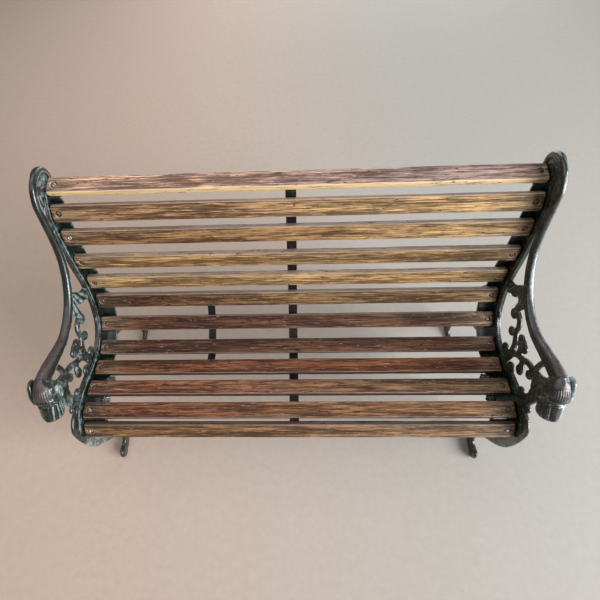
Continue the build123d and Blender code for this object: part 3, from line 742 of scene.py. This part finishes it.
# Top and sole of each paw, from the claws back to the ankle.
FEET = [
    ([(13, 1), (5, 12), (4, 32), (12, 44), (25, 43), (40, 36), (55, 38), (66, 56), (70, 66)],
     [(24, 1), (40, 1), (56, 1), (70, 1), (84, 1), (92, 1), (98, 14), (100, 40), (98, 66)]),
    ([(458, 1), (449, 7), (453, 14), (467, 17), (480, 23), (487, 38), (491, 52), (494, 66)],
     [(468, 1), (476, 1), (486, 1), (496, 1), (506, 1), (520, 1), (526, 14), (526, 36), (517, 66)]),
]
FOOT_HALF_WIDTH = 8.2
FOOT_SAMPLES = 110
# (share of the way from the claws to the ankle, width there against the widest).
FOOT_SWELL = [(0, 0.62), (0.05, 0.86), (0.3, 1), (0.55, 0.9), (1, 0.84)]
LEG_SAMPLES = 300
LEG_HALF = 7.0
LEG_WEB, LEG_MOST = 4.0, 8.4

grid, shape = side_grid((-4, 26), (512, 430), LEG_STEP)
forms = []
for front, back in (FRONT_LEG, REAR_LEG):
    front, back = curve(front, LEG_SAMPLES), curve(back, LEG_SAMPLES)
    half_widths = np.hypot(*(front - back).T) / 2
    path = np.column_stack([(front + back) / 2, half_widths, np.full(LEG_SAMPLES, LEG_HALF)])
    depth, height, offset = strip_field(grid, path, 3.2)
    side = np.abs(offset)
    moulding = 1.4 * hump(offset, 0, 0.10) - 1.1 * hump(side, 0.30, 0.12) + 0.8 * hump(side, 0.78, 0.08)
    add_form(forms, depth, height + moulding * smooth(0, 3, depth))
for path in BRACKETS:
    depth, height, offset = strip_field(grid, curve(path, STRIP_SAMPLES), 2.2)
    add_form(forms, depth, height - 0.9 * hump(offset, 0, 0.2))
for y, z, radius in BRACKET_EYES:
    reach, _ = seen_from(grid, (y, z))
    dome = 6 * round_top(reach / radius, 2.4) - 1.6 * hump(reach, radius * 0.55, 1.8)
    add_form(forms, radius - reach, dome)
level, height = joined(forms, 2.0, LEG_WEB, LEG_MOST)
# Pale bloom on the front leg's knee, where its inner face catches the key light: painted light.
knee_painted_light = 0.6 * smooth(345, 310, grid[:, 1]) * smooth(120, 200, grid[:, 1]) * smooth(110, 80, grid[:, 0])
bloom = 0.25 + 0.15 * ripple(9, grid[:, 0] * 0.06, grid[:, 1] * 0.06) + knee_painted_light
casting_plate("legs", grid, shape, LEG_STEP, level, np.where(level > 0, height, 0), bloom)

turn = full_turn(72)
upper = np.sin(turn) > 0
along = np.linspace(0, 1, FOOT_SAMPLES)[:, None]
toes = 1.3 * np.abs(np.sin(1.5 * np.cos(turn) * np.pi)) * smooth(0.5, 0.3, along) * upper
claw = 1.1 * hump(np.cos(turn), 0, 0.2) * smooth(0.2, 0.05, along) * upper
across = square_off(np.cos(turn), 0.6) * (np.interp(along, *np.array(FOOT_SWELL).T) * FOOT_HALF_WIDTH)
rise = 0.5 + 0.5 * square_off(np.sin(turn), 0.6)
for number, (top, sole) in enumerate(FEET):
    top, sole = curve(top, FOOT_SAMPLES), curve(sole, FOOT_SAMPLES)
    inward = (sole - top) / np.linalg.norm(sole - top, axis=1)[:, None]
    y = sole[:, :1] + (top[:, :1] - sole[:, :1]) * rise + inward[:, :1] * (toes - claw)
    z = sole[:, 1:] + (top[:, 1:] - sole[:, 1:]) * rise + inward[:, 1:] * (toes - claw)
    rings = row_points(FOOT_X + across / 1000, y, np.maximum(z, 0.3))
    casting_tube("paw_" + str(number + 1), rings, 0.3, 0.35 * np.clip(np.sin(turn), 0, 1))


# ---- hounds' heads ----
# The head that ends each arm, looking forward and down: fluted brow, heavy muzzle and hanging ears.
# It is cast in one with the rail, painted, and worn to brown iron over the brow.
HEAD_X = 0.6155
HEAD_NECK = (104, 622)
HEAD_NOSE = (37, 513)
# (share of the way from neck to nose, radius there).
HEAD_RADII = [
    (0.0, 10), (0.05, 16), (0.1, 22.5), (0.2, 30.5), (0.32, 34.5), (0.44, 34), (0.52, 31.5), (0.62, 30),
    (0.72, 30.5), (0.86, 31), (0.94, 29.5), (0.98, 26), (1.0, 20),
]
HEAD_SINK = 3.0
share = np.linspace(0, 1, 236)[:, None]
turn = np.linspace(-np.pi, np.pi, 216, endpoint=False)[None, :]
degrees = np.degrees(turn)
lobe = np.abs(degrees)
radius = np.interp(share[:, 0], *np.array(HEAD_RADII, float).T)
radius = np.convolve(np.pad(radius, 8, "edge"), np.ones(17) / 17, "valid")[:, None]
on_brow = smooth(0.16, 0.22, share) * smooth(0.43, 0.38, share)
flutes = 0.5 * np.cos(turn * 36 + 1.5 * np.sin(share * 14))
flutes = flutes * on_brow * smooth(-66, -52, degrees) * smooth(34, 16, degrees)
brow = 2.4 * hump(share, 0.46, 0.05) * smooth(95, 50, lobe) * (1 - 0.5 * hump(degrees, 0, 14))
stop = -4.6 * hump(share, 0.55, 0.028) * smooth(105, 60, lobe)
socket = np.hypot((share - 0.50) * 130, (lobe - 58) * 0.5)
eye = 3.6 * hump(socket, 0, 5.0) - 1.6 * hump(socket, 7.6, 1.5)
bridge = 1.2 * hump(degrees, 0, 24) * smooth(0.56, 0.64, share)
flews = 1.2 * hump(lobe, 95, 28) * smooth(0.6, 0.8, share)
wrinkles = 2.3 * np.cos(lobe * 0.30 + 9 * share + 1.6 * np.sin(lobe * 0.07))
wrinkles = wrinkles * smooth(0.57, 0.63, share) * smooth(0.95, 0.88, share)
wrinkles = wrinkles * smooth(-16, -26, degrees) * smooth(-125, -105, degrees)
mouth = -3.0 * hump(lobe, 132 - 14 * share, 4.5) * smooth(0.60, 0.70, share)
nostril = np.hypot((share - 0.965) * 130, (lobe - 18) * 0.42)
nose = 2.6 * hump(np.hypot((share - 0.93) * 130, lobe * 0.42), 0, 8) - 2.0 * hump(nostril, 0, 2.4)
ruff = 1.6 * np.cos(share * 44 + lobe * 0.05) * smooth(62, 88, lobe) * smooth(0.52, 0.44, share)
ruff = ruff * smooth(0.1, 0.2, share)
skin = 0.25 * ripple(21, share * 60, np.sin(turn) * 8, np.cos(turn) * 8, count=10)
relief = flutes + brow + stop + eye + bridge + flews + wrinkles + mouth + nose + ruff + skin
radius = radius - HEAD_SINK + relief
axis = np.array(HEAD_NOSE, float) - HEAD_NECK
length = np.linalg.norm(axis)
axis = axis / length
crest = np.array([axis[1], -axis[0]])
crest = crest * np.sign(crest[1])
squeeze = 0.28 * smooth(0.10, 0.18, share) * smooth(0.56, 0.46, share) * np.clip(np.sin(turn), 0, 1) ** 2
bulge = 1.0 - 0.06 * smooth(0.5, 0.65, share) * np.sin(turn) ** 2 - squeeze
out = np.cos(turn) * radius
v = np.sin(turn) * radius * bulge
along = length * (0.02 + 0.975 * share)
y = HEAD_NECK[0] + axis[0] * along + crest[0] * out
z = HEAD_NECK[1] + axis[1] * along + crest[1] * out
# Bloom on the crests of the muzzle wrinkles and brow flutes is a painted highlight; the bloom on the ruff is
# patina.
bloom = 0.10 + 0.6 * np.clip(wrinkles, 0, 1.6) + 0.2 * np.clip(flutes * 1.3, 0, 1)
bloom = bloom + 0.35 * smooth(62, 88, lobe) * smooth(0.52, 0.44, share)
worn = 0.9 * smooth(70, 35, lobe) * smooth(0.47, 0.36, share) + 0.25 * np.clip(relief / 3, 0, 1)
# Pale chalk on the head's outer side, facing the key light: chalky paint and a painted highlight.
chalk = (0.7 + 0.6 * smooth(0.52, 0.6, share)) * smooth(38, 62, degrees + 32 * smooth(0.54, 0.6, share))
chalk = chalk * smooth(150, 120, degrees)
casting_tube("hound_head", row_points(HEAD_X + v / 1000, y, z), bloom, worn, chalk)

# (side, middle in the side view, distance from the head's middle, half its length, width and thickness).
EARS = [(-1, (84, 574), 30.0, (23, 13, 6.5)), (1, (77, 588), 26.5, (33, 19, 8.5))]
EAR_LEAN, EAR_FLARE = np.radians(50), np.radians(14)
EAR_FARTHEST = 36.0
for side, middle, spread, half in EARS:
    inner = side < 0
    u = np.linspace(0.0, np.pi, 90)[:, None]
    turn = full_turn(80)
    a = -np.cos(u) * half[0]
    swell = np.sin(u) ** 0.55
    b = np.cos(turn) * half[1] * swell * (1 - 0.18 * np.cos(u))
    thick = square_off(np.sin(turn), 0.8) * half[2] * swell
    within = np.hypot(a / half[0], b / half[1])
    fold = 2.2 * hump(within, 0.72, 0.14) - 2.6 * hump(within, 0.2, 0.3)
    hair = (0.7 if inner else 0.15) * np.cos(b * 1.1 + 0.10 * a)
    thick = thick + np.clip(np.sin(turn), 0, 1) * (fold - 1.0 + hair) * swell
    sideways = spread + thick * np.cos(EAR_FLARE) - b * np.sin(EAR_FLARE)
    b = b * np.cos(EAR_FLARE) + thick * np.sin(EAR_FLARE)
    y = middle[0] + np.cos(EAR_LEAN) * a - np.sin(EAR_LEAN) * b
    z = middle[1] + np.sin(EAR_LEAN) * a + np.cos(EAR_LEAN) * b
    rings = row_points(HEAD_X + side * np.minimum(sideways, EAR_FARTHEST) / 1000, y, z)
    bloom = 0.6 if inner else 0.10
    worn = 0.30 * hump(within, 0.7, 0.2)
    # Pale chalk on the outer ear, facing the key light: chalky paint and a painted highlight.
    chalk = (side > 0) * (1.12 - 0.8 * hump(within, 0.2, 0.3))
    casting_tube("inner_ear" if inner else "outer_ear", rings, bloom, worn, chalk)


# ---- slats ----
# Twelve sawn hardwood boards with worn, slightly chipped edges, each let down onto the castings' flanges.
# A bolt through each end sits in a round counterbore.
SLAT_NAMES = sorted(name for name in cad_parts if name.startswith("slat_"))
SLAT_CORNER = 0.0032
SLAT_STEP = 0.0047
SLAT_END_STEP = 0.0008
SLAT_END_ZONE = 0.030
BOLT_INSET = 0.016
RECESS_RADIUS = 0.0082
RECESS_DEPTH = 0.0040
# Size of the three rings that close each sawn end, against the full section.
END_INSETS = [0.35, 0.7, 0.93]

# Stains of the boards, at the left and the right end of each, from the top one down to the front one.
PALE_PINK, LILAC_GREY = rgb(197, 159, 136), rgb(149, 127, 121)
TAN, SAND = rgb(150, 116, 85), rgb(167, 136, 94)
OCHRE, DULL_OCHRE, UMBER, DRAB = rgb(182, 147, 99), rgb(138, 111, 77), rgb(132, 98, 67), rgb(122, 97, 74)
CHESTNUT, DARK_OAK, RUSSET, RED_BROWN = rgb(101, 69, 47), rgb(90, 59, 41), rgb(118, 74, 49), rgb(138, 88, 62)
STAINS = [
    (PALE_PINK, LILAC_GREY), (TAN, SAND), (UMBER, SAND), (OCHRE, DULL_OCHRE), (OCHRE, SAND),
    (CHESTNUT, DULL_OCHRE), (DARK_OAK, CHESTNUT), (DARK_OAK, DARK_OAK), (RUSSET, RUSSET),
    (RED_BROWN, DRAB), (RUSSET, UMBER), (UMBER, DRAB),
]
WEATHERED_END = rgb(128, 112, 90)


def slat_axes(node):
    """Centre line and the directions across and out of a slat, from the corners of its CAD end face."""
    co = np.array([v.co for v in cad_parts[node].data.vertices])
    end = co[co[:, 0] > co[:, 0].max() - 1e-4][:, 1:]
    middle = (end.min(0) + end.max(0)) / 2
    across = np.linalg.svd(end - end.mean(0))[2][0]
    across = across * np.sign(across[0])
    out = np.array([-across[1], across[0]])
    a, b = (end - middle) @ across, (end - middle) @ out
    centre = middle + across * (a.max() + a.min()) / 2 + out * (b.max() + b.min()) / 2
    return co[:, 0].max(), centre, across, out, (a.max() - a.min()) / 2, (b.max() - b.min()) / 2


def section_loop(half_width, half_thick, corner):
    """Rounded rectangle from the lower front corner round over the top: points and outward directions."""
    spans = [(50, (-1, 1), (1, 1)), (10, (1, 1), (1, -1)), (14, (1, -1), (-1, -1)), (10, (-1, -1), (-1, 1))]
    points, outs = [], []
    for count, start, end in spans:
        a0, b0 = start[0] * (half_width - corner), start[1] * (half_thick - corner)
        a1, b1 = end[0] * (half_width - corner), end[1] * (half_thick - corner)
        step = np.linspace(0, 1, count)
        normal = np.array([-(b1 - b0), a1 - a0]) / np.hypot(a1 - a0, b1 - b0)
        line = np.stack([a0 + (a1 - a0) * step, b0 + (b1 - b0) * step], -1) + normal * corner
        points.append(line)
        outs.append(np.tile(normal, (count, 1)))
        turn = np.arctan2(normal[1], normal[0]) - np.radians([22.5, 45.0, 67.5])
        bend = np.stack([np.cos(turn), np.sin(turn)], -1)
        points.append(np.array([a1, b1]) + bend * corner)
        outs.append(bend)
    return np.concatenate(points), np.concatenate(outs)


def beside_middle(x, a, b, centre, across, out):
    """Row-frame points at x, a across a slat's middle and b out of it."""
    y = centre[0] + a * across[0] + b * out[0]
    z = centre[1] + a * across[1] + b * out[1]
    return np.stack([x, y, z], -1)


def slat_piece(name, number):
    """Board: a rounded section (a, b) swept along x, its surface lowered by wear and by the counterbores."""
    reach, centre, across, out, half_width, half_thick = slat_axes(name)
    loop, loop_out = section_loop(half_width, half_thick, SLAT_CORNER)
    fine = np.arange(0, SLAT_END_ZONE, SLAT_END_STEP)
    middle = np.linspace(-reach + SLAT_END_ZONE, reach - SLAT_END_ZONE, int(2 * reach / SLAT_STEP))
    x = np.concatenate([[-reach] * 3, -reach + fine, middle, (reach - fine)[::-1], [reach] * 3])
    inset = np.concatenate([END_INSETS, np.ones(len(x) - 6), END_INSETS[::-1]])[:, None]
    gx = x[:, None] + 0 * loop[None, :, 0]
    a, b = loop[None, :, 0] * inset, loop[None, :, 1] * inset
    oa, ob = loop_out[None, :, 0], loop_out[None, :, 1]
    corner = np.exp(-((half_width - np.abs(a)) ** 2 + (half_thick - np.abs(b)) ** 2) / 0.0035 ** 2)
    wear = 0.00035 * (1 + ripple(number, gx * 30, a * 300, b * 260))
    wear = wear + 0.0011 * corner * smooth(0.05, 0.6, ripple(number + 40, gx * 46, a * 60, b * 60))
    wear = wear + 0.0004 * corner * (1 + ripple(number + 80, gx * 220, a * 150, b * 150))
    end = smooth(0.006, 0.0, reach - np.abs(gx))
    wear = wear + 0.0012 * corner * end
    bolt = np.hypot(np.abs(gx) - (reach - BOLT_INSET), a)
    on_top = smooth(0.9, 1.0, ob)
    dish = RECESS_DEPTH * smooth(RECESS_RADIUS + 0.0006, RECESS_RADIUS - 0.0004, bolt) * on_top
    a = a - oa * wear
    b = b - ob * (wear + dish)
    gx = gx - np.sign(gx) * 0.0011 * corner * end
    points = beside_middle(gx, a, b, centre, across, out)
    rim = hump(bolt, RECESS_RADIUS + 0.0008, 0.0012) * on_top
    far = smooth(-0.5, 0.5, gx / (2 * reach) * 1.2 + 0.25 * ripple(number + 7, gx * 6, a * 20, b * 20))
    tired = 0.55 * smooth(0.16, 0.0, reach - np.abs(gx) + 0.03 * ripple(number + 9, gx * 20, a * 60, b * 60))
    left, right = (np.array(colour[:3]) for colour in STAINS[number])
    stain = left + (right - left) * far[..., None]
    stain = stain + (np.array(WEATHERED_END[:3]) - stain) * tired[..., None]
    # dish / RECESS_DEPTH carries the painted shade in the counterbores.
    fields = (gx + number * 3.7, a + number * 0.31, b, corner, dish / RECESS_DEPTH, rim, ob, oa)
    points, tris, fields = closed_tube(points, *fields, *np.moveaxis(stain, 2, 0))
    looks = dict(grain=np.stack(fields[:3], -1), stain=np.stack(fields[8:], -1))
    looks.update(zip(("edge", "sunk", "rim", "facing", "front"), fields[3:8]))
    return mesh_piece("board_" + name, points, tris, **looks)


def wood(name, upper_edge_painted_light, lower_edge_painted_light, silvered_wear_and_glint):
    """Weathered board: its stain broken into dark patches, streaks, fibres and open cracks, with pale specks
    as painted glints, a painted-light colour on the edge that looks up and another on the one that looks
    forward, and painted shade underneath and in the counterbores."""
    shader = Shader(name, Specular_IOR_Level=0.22)
    place = shader.attribute("grain", "Vector")
    stain = shader.attribute("stain", "Color")
    patch = shader.noise(place, 1.0, 4.0, 0.6, stretch=(3.5, 45, 45), distort=0.3)
    streak = shader.noise(place, 1.0, 6.0, 0.75, stretch=(11, 290, 290), distort=0.2)
    fibre = shader.noise(place, 1.0, 4.0, 0.7, stretch=(40, 700, 700))
    crack = shader.noise(place, 1.0, 3.0, 0.5, stretch=(5, 90, 90), distort=1.2)
    glint_specks = shader.noise(place, 1.0, 3.0, 0.6, stretch=(38, 330, 330))

    def shade(factor):
        """The stain times a factor for red, green and blue."""
        return shader.blend(1.0, stain, (*factor, 1.0), "MULTIPLY")

    up = shader.attribute("front").band(0.55, 0.9)
    ahead = (shader.attribute("front") * -1).band(0.55, 0.9)
    ragged = (patch + streak) * 0.9
    underside_shade = (shader.attribute("facing") * -1).band(0.2, 0.8)
    split = ((crack - 0.5) * (crack - 0.5)).band(0.00022, 0.00002) * patch.band(0.42, 0.5)
    worn = (shader.attribute("edge") * 1.4 + streak - 1.2).band(0.1, 0.5)
    rubbed = (shader.attribute("rim") + streak - 0.7).band(0.1, 0.6)
    colour = shader.layered(
        shader.blend(patch.band(0.40, 0.60), shade((0.32, 0.29, 0.29)), shade((1.3, 1.27, 1.22))),
        (streak.band(0.47, 0.60) * 0.9, shade((0.18, 0.15, 0.15))),
        (streak.band(0.47, 0.33) * 0.8, shade((2.4, 2.35, 2.2))),
        (fibre.band(0.52, 0.70) * 0.6, shade((0.22, 0.19, 0.19))),
        # Pale specks that are painted glints on the worn finish.
        (glint_specks.band(0.62, 0.74) * 0.7, silvered_wear_and_glint),
        # Painted light on the edges: one colour on the edge that looks up, another on the one that looks
        # forward.
        (up * ragged.band(0.6, 1.1) * 0.85, upper_edge_painted_light),
        (ahead * ragged.band(0.45, 0.9) * 0.95, lower_edge_painted_light),
        # Painted shade on the faces of the board that look down.
        (underside_shade * 0.6, rgb(38, 28, 24)),
        (split * 0.85, rgb(20, 13, 11)),
        (worn * 0.55, silvered_wear_and_glint),
        (rubbed * 0.35, silvered_wear_and_glint),
        # Painted shade darkening the counterbores round the bolt heads.
        (shader.attribute("sunk") * 0.8, rgb(30, 18, 14)),
    )
    shader.set(Base_Color=colour, Roughness=streak * 0.4 + 0.34)
    shader.bump(streak * 0.55 + fibre * 0.3 + split * -0.9 + patch * 0.3, 0.0012)
    return shader.material


# Each wood takes the painted light of its upper edge, that of its lower edge, and the silvered colour of wear
# and painted glints.
WOOD = {
    "top_slat_wood": wood("wood_top", rgb(128, 118, 114), rgb(228, 198, 142), rgb(196, 184, 182)),
    "back_slat_wood": wood("wood_back", rgb(150, 134, 126), rgb(70, 50, 36), rgb(188, 172, 150)),
    "seat_slat_wood": wood("wood_seat", rgb(96, 82, 74), rgb(60, 38, 28), rgb(168, 150, 140)),
}
for number, name in enumerate(SLAT_NAMES):
    board = slat_piece(name, number)
    slot = "top_slat_wood" if number == 0 else "back_slat_wood" if number < 6 else "seat_slat_wood"
    board.data.materials.append(WOOD[slot])
    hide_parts(name)
    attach(board, "root")


# ---- slat bolts ----
# Slotted round-headed bolts, zinc worn through to rust, one turned down into each counterbore.
# Each goes through its slat and the ledge of the casting to a washer and nut below.
BOLT_HEAD_RADIUS = 6.3
BOLT_HEAD_TOP = 3.2
BOLT_SHANK_RADIUS = 3.2
BOLT_LENGTH = 36.0
SLOT_HALF_WIDTH = 0.8
SLOT_DEPTH = 1.3
DOME_ROWS = 25
USUAL_ZINC = 0.12
# Brightness of the bolts with more zinc left than the usual, by side and slat, the top slat being 0.
BARE_BOLTS = {("left", 2): 1.3, ("left", 0): 0.45, ("right", 11): 0.5, ("left", 10): 0.4, ("left", 11): 0.4}

plated = Shader("bolt_steel")
place = plated.place()
patch = plated.noise(place, 420.0, 4.0, 0.65)
bare = (plated.attribute("bare") + (patch - 0.5) * 1.6).band(0.30, 0.75)
stained = plated.blend(patch.band(0.4, 0.65), rgb(58, 30, 22), rgb(112, 66, 46))
colour = plated.blend(bare, stained, rgb(214, 206, 196))
plated.set(Base_Color=colour, Metallic=bare * 0.9 + 0.1, Roughness=patch * 0.35 + 0.22 - bare * 0.1)
plated.bump(patch, 0.0005)
turn = full_turn(64)
grown = np.linspace(0, 1, DOME_ROWS + 1)[1:, None]
shank = [[BOLT_HEAD_RADIUS], [BOLT_SHANK_RADIUS], [BOLT_SHANK_RADIUS]]
radius = np.concatenate([BOLT_HEAD_RADIUS * grown, shank])
dome = BOLT_HEAD_TOP * np.sqrt(np.clip(1 - 0.82 * grown**2.6, 0, 1))
profile = np.concatenate([dome, [[0.0], [0.0], [-BOLT_LENGTH]]])
pick = np.random.default_rng(17)
for side, sign in (("left", -1), ("right", 1)):
    points, tris, fields = [], [], []
    for number, name in enumerate(SLAT_NAMES):
        reach, centre, across, out, _, half_thick = slat_axes(name)
        off_slot = np.abs(radius * np.sin(turn - pick.uniform(0, np.pi)))
        cut = smooth(SLOT_HALF_WIDTH + 0.35, SLOT_HALF_WIDTH - 0.1, off_slot)
        cut[DOME_ROWS:] = 0
        height = profile - SLOT_DEPTH * (cut * smooth(0.99, 0.9, radius / BOLT_HEAD_RADIUS))
        x = sign * (reach - BOLT_INSET) + radius * np.cos(turn) / 1000
        rise = half_thick - RECESS_DEPTH + height / 1000
        ring = beside_middle(x, radius * np.sin(turn) / 1000, rise, centre, across, out)
        zinc = BARE_BOLTS.get((side, number), USUAL_ZINC) + 0.25 * (height > 2.2)
        one, faces, (field,) = closed_tube(ring, zinc - 0.5 * cut)
        tris.append(faces + sum(len(p) for p in points))
        points.append(one)
        fields.append(field)
    points, tris, bare = np.concatenate(points), np.concatenate(tris), np.concatenate(fields)
    piece = mesh_piece(side + "_bolts", points, tris, bare=bare)
    piece.data.materials.append(plated.material)
    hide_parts(side + "_slat_bolts")
    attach(piece, "root")


# ---- fixings and straps ----
# Rusted steel washers, nuts and screws, and the painted flat iron straps under the slats.
# They keep the plain shapes of the frame and only get their materials here.
def patchy_metal(name, scale, edges, dark, light, roughness, **constants):
    """Metal in two tones, dark and light, in the patches of a noise."""
    metal = Shader(name, **constants)
    patch = metal.noise(metal.place(), scale, 4.0)
    colour = metal.blend(patch.band(*edges), dark, light)
    metal.set(Base_Color=colour, Roughness=patch * 0.4 + roughness)
    metal.bump(patch, 0.0004)
    return metal.material


RUST = patchy_metal("rusty_steel", 260.0, (0.4, 0.65), rgb(70, 38, 26), rgb(122, 84, 60), 0.4, Metallic=0.3)
IRON = patchy_metal("strap_iron", 60.0, (0.5, 0.7), rgb(13, 13, 14), rgb(42, 36, 32), 0.45,
                    Specular_IOR_Level=0.3)
for name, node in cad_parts.items():
    if "strap" in name and "screws" not in name:
        node.data.materials.clear()
        node.data.materials.append(IRON)
    elif "bolt_" in name or "screws" in name:
        node.data.materials.clear()
        node.data.materials.append(RUST)


# ---- floor, light and camera ----
# A pale concrete-toned sheet under the bench, a soft key from the front right, fills from above and behind.
# The camera looks down over the front of the seat.
floor = Shader("studio_floor", Roughness=0.9)
place = floor.place()
speck = floor.noise(place, 40.0, 6.0, 0.7)
side = floor.node("ShaderNodeSeparateXYZ", {}, {0: place}, out=0)
ground = floor.blend(side.band(-1.0, 0.9), rgb(190, 168, 152), rgb(160, 156, 150))
floor.set(Base_Color=floor.blend(speck.band(0.3, 0.7) * 0.12, ground, rgb(120, 110, 100)))
corners = np.array([[-6, -6, 0], [6, -6, 0], [6, 6, 0], [-6, 6, 0]], float)
sheet = mesh_piece("studio_floor_sheet", corners, np.array([[0, 1, 2], [0, 2, 3]]))
sheet.data.materials.append(floor.material)
sheet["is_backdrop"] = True

LIGHT_TARGET = np.array([0.0, 0.0, 0.4])
# (name, place, size, power, colour).
LIGHTS = [
    ("key", (4.1, -2.2, 2.5), 3.9, 600.0, (0.97, 0.985, 1.0)),
    ("top", (-0.8, 0.3, 3.4), 3.4, 45.0, (1.0, 0.97, 0.94)),
    ("back", (0.6, 3.6, 1.3), 3.0, 70.0, (0.94, 0.97, 1.0)),
]


def pose(right, up, back, spot):
    """Matrix of a light or camera from the directions of its own axes and its place."""
    return Matrix(np.column_stack([[*right, 0], [*up, 0], [*back, 0], [*spot, 1]]).tolist())


for name, spot, size, power, tint in LIGHTS:
    light = bpy.data.lights.new(name, "AREA")
    light.size, light.energy, light.color = size, power, tint
    lamp = bpy.data.objects.new(name, light)
    aim = (np.array(spot) - LIGHT_TARGET) / np.linalg.norm(np.array(spot) - LIGHT_TARGET)
    right = np.cross([0, 0, 1], aim)
    right = right / np.linalg.norm(right)
    lamp.matrix_world = pose(right, np.cross(aim, right), aim, spot)
    bpy.context.scene.collection.objects.link(lamp)
WORLD_COLOUR = (0.80, 0.82, 0.86, 1)
WORLD_STRENGTH = 0.23
world = bpy.data.worlds.new("studio")
world.use_nodes = True
background = world.node_tree.nodes["Background"]
background.inputs[0].default_value = WORLD_COLOUR
background.inputs[1].default_value = WORLD_STRENGTH
bpy.context.scene.world = world

CAMERA_YAW, CAMERA_PITCH, CAMERA_ROLL = -0.0990, 1.0741, 0.1018
CAMERA_SPOT = (0.005094, -0.494044, 1.571833)
CAMERA_LENS = 24.993
CAMERA_SENSOR = 36.0
CAMERA_SHIFT = 0.0421
forward = np.array([np.sin(CAMERA_YAW), np.cos(CAMERA_YAW), 0.0])
right = np.array([np.cos(CAMERA_YAW), -np.sin(CAMERA_YAW), 0.0])
down = np.array([0.0, 0.0, -1.0])
view = forward * np.cos(CAMERA_PITCH) + down * np.sin(CAMERA_PITCH)
low = down * np.cos(CAMERA_PITCH) - forward * np.sin(CAMERA_PITCH)
rolled_right = right * np.cos(CAMERA_ROLL) + low * np.sin(CAMERA_ROLL)
rolled_low = low * np.cos(CAMERA_ROLL) - right * np.sin(CAMERA_ROLL)
camera_data = bpy.data.cameras.new("camera")
camera_data.lens, camera_data.sensor_width, camera_data.shift_x = CAMERA_LENS, CAMERA_SENSOR, CAMERA_SHIFT
camera = bpy.data.objects.new("camera", camera_data)
camera.matrix_world = pose(rolled_right, -rolled_low, -view, CAMERA_SPOT)
bpy.context.scene.collection.objects.link(camera)
bpy.context.scene.camera = camera
bpy.context.scene.view_settings.view_transform = "Standard"

low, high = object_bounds()
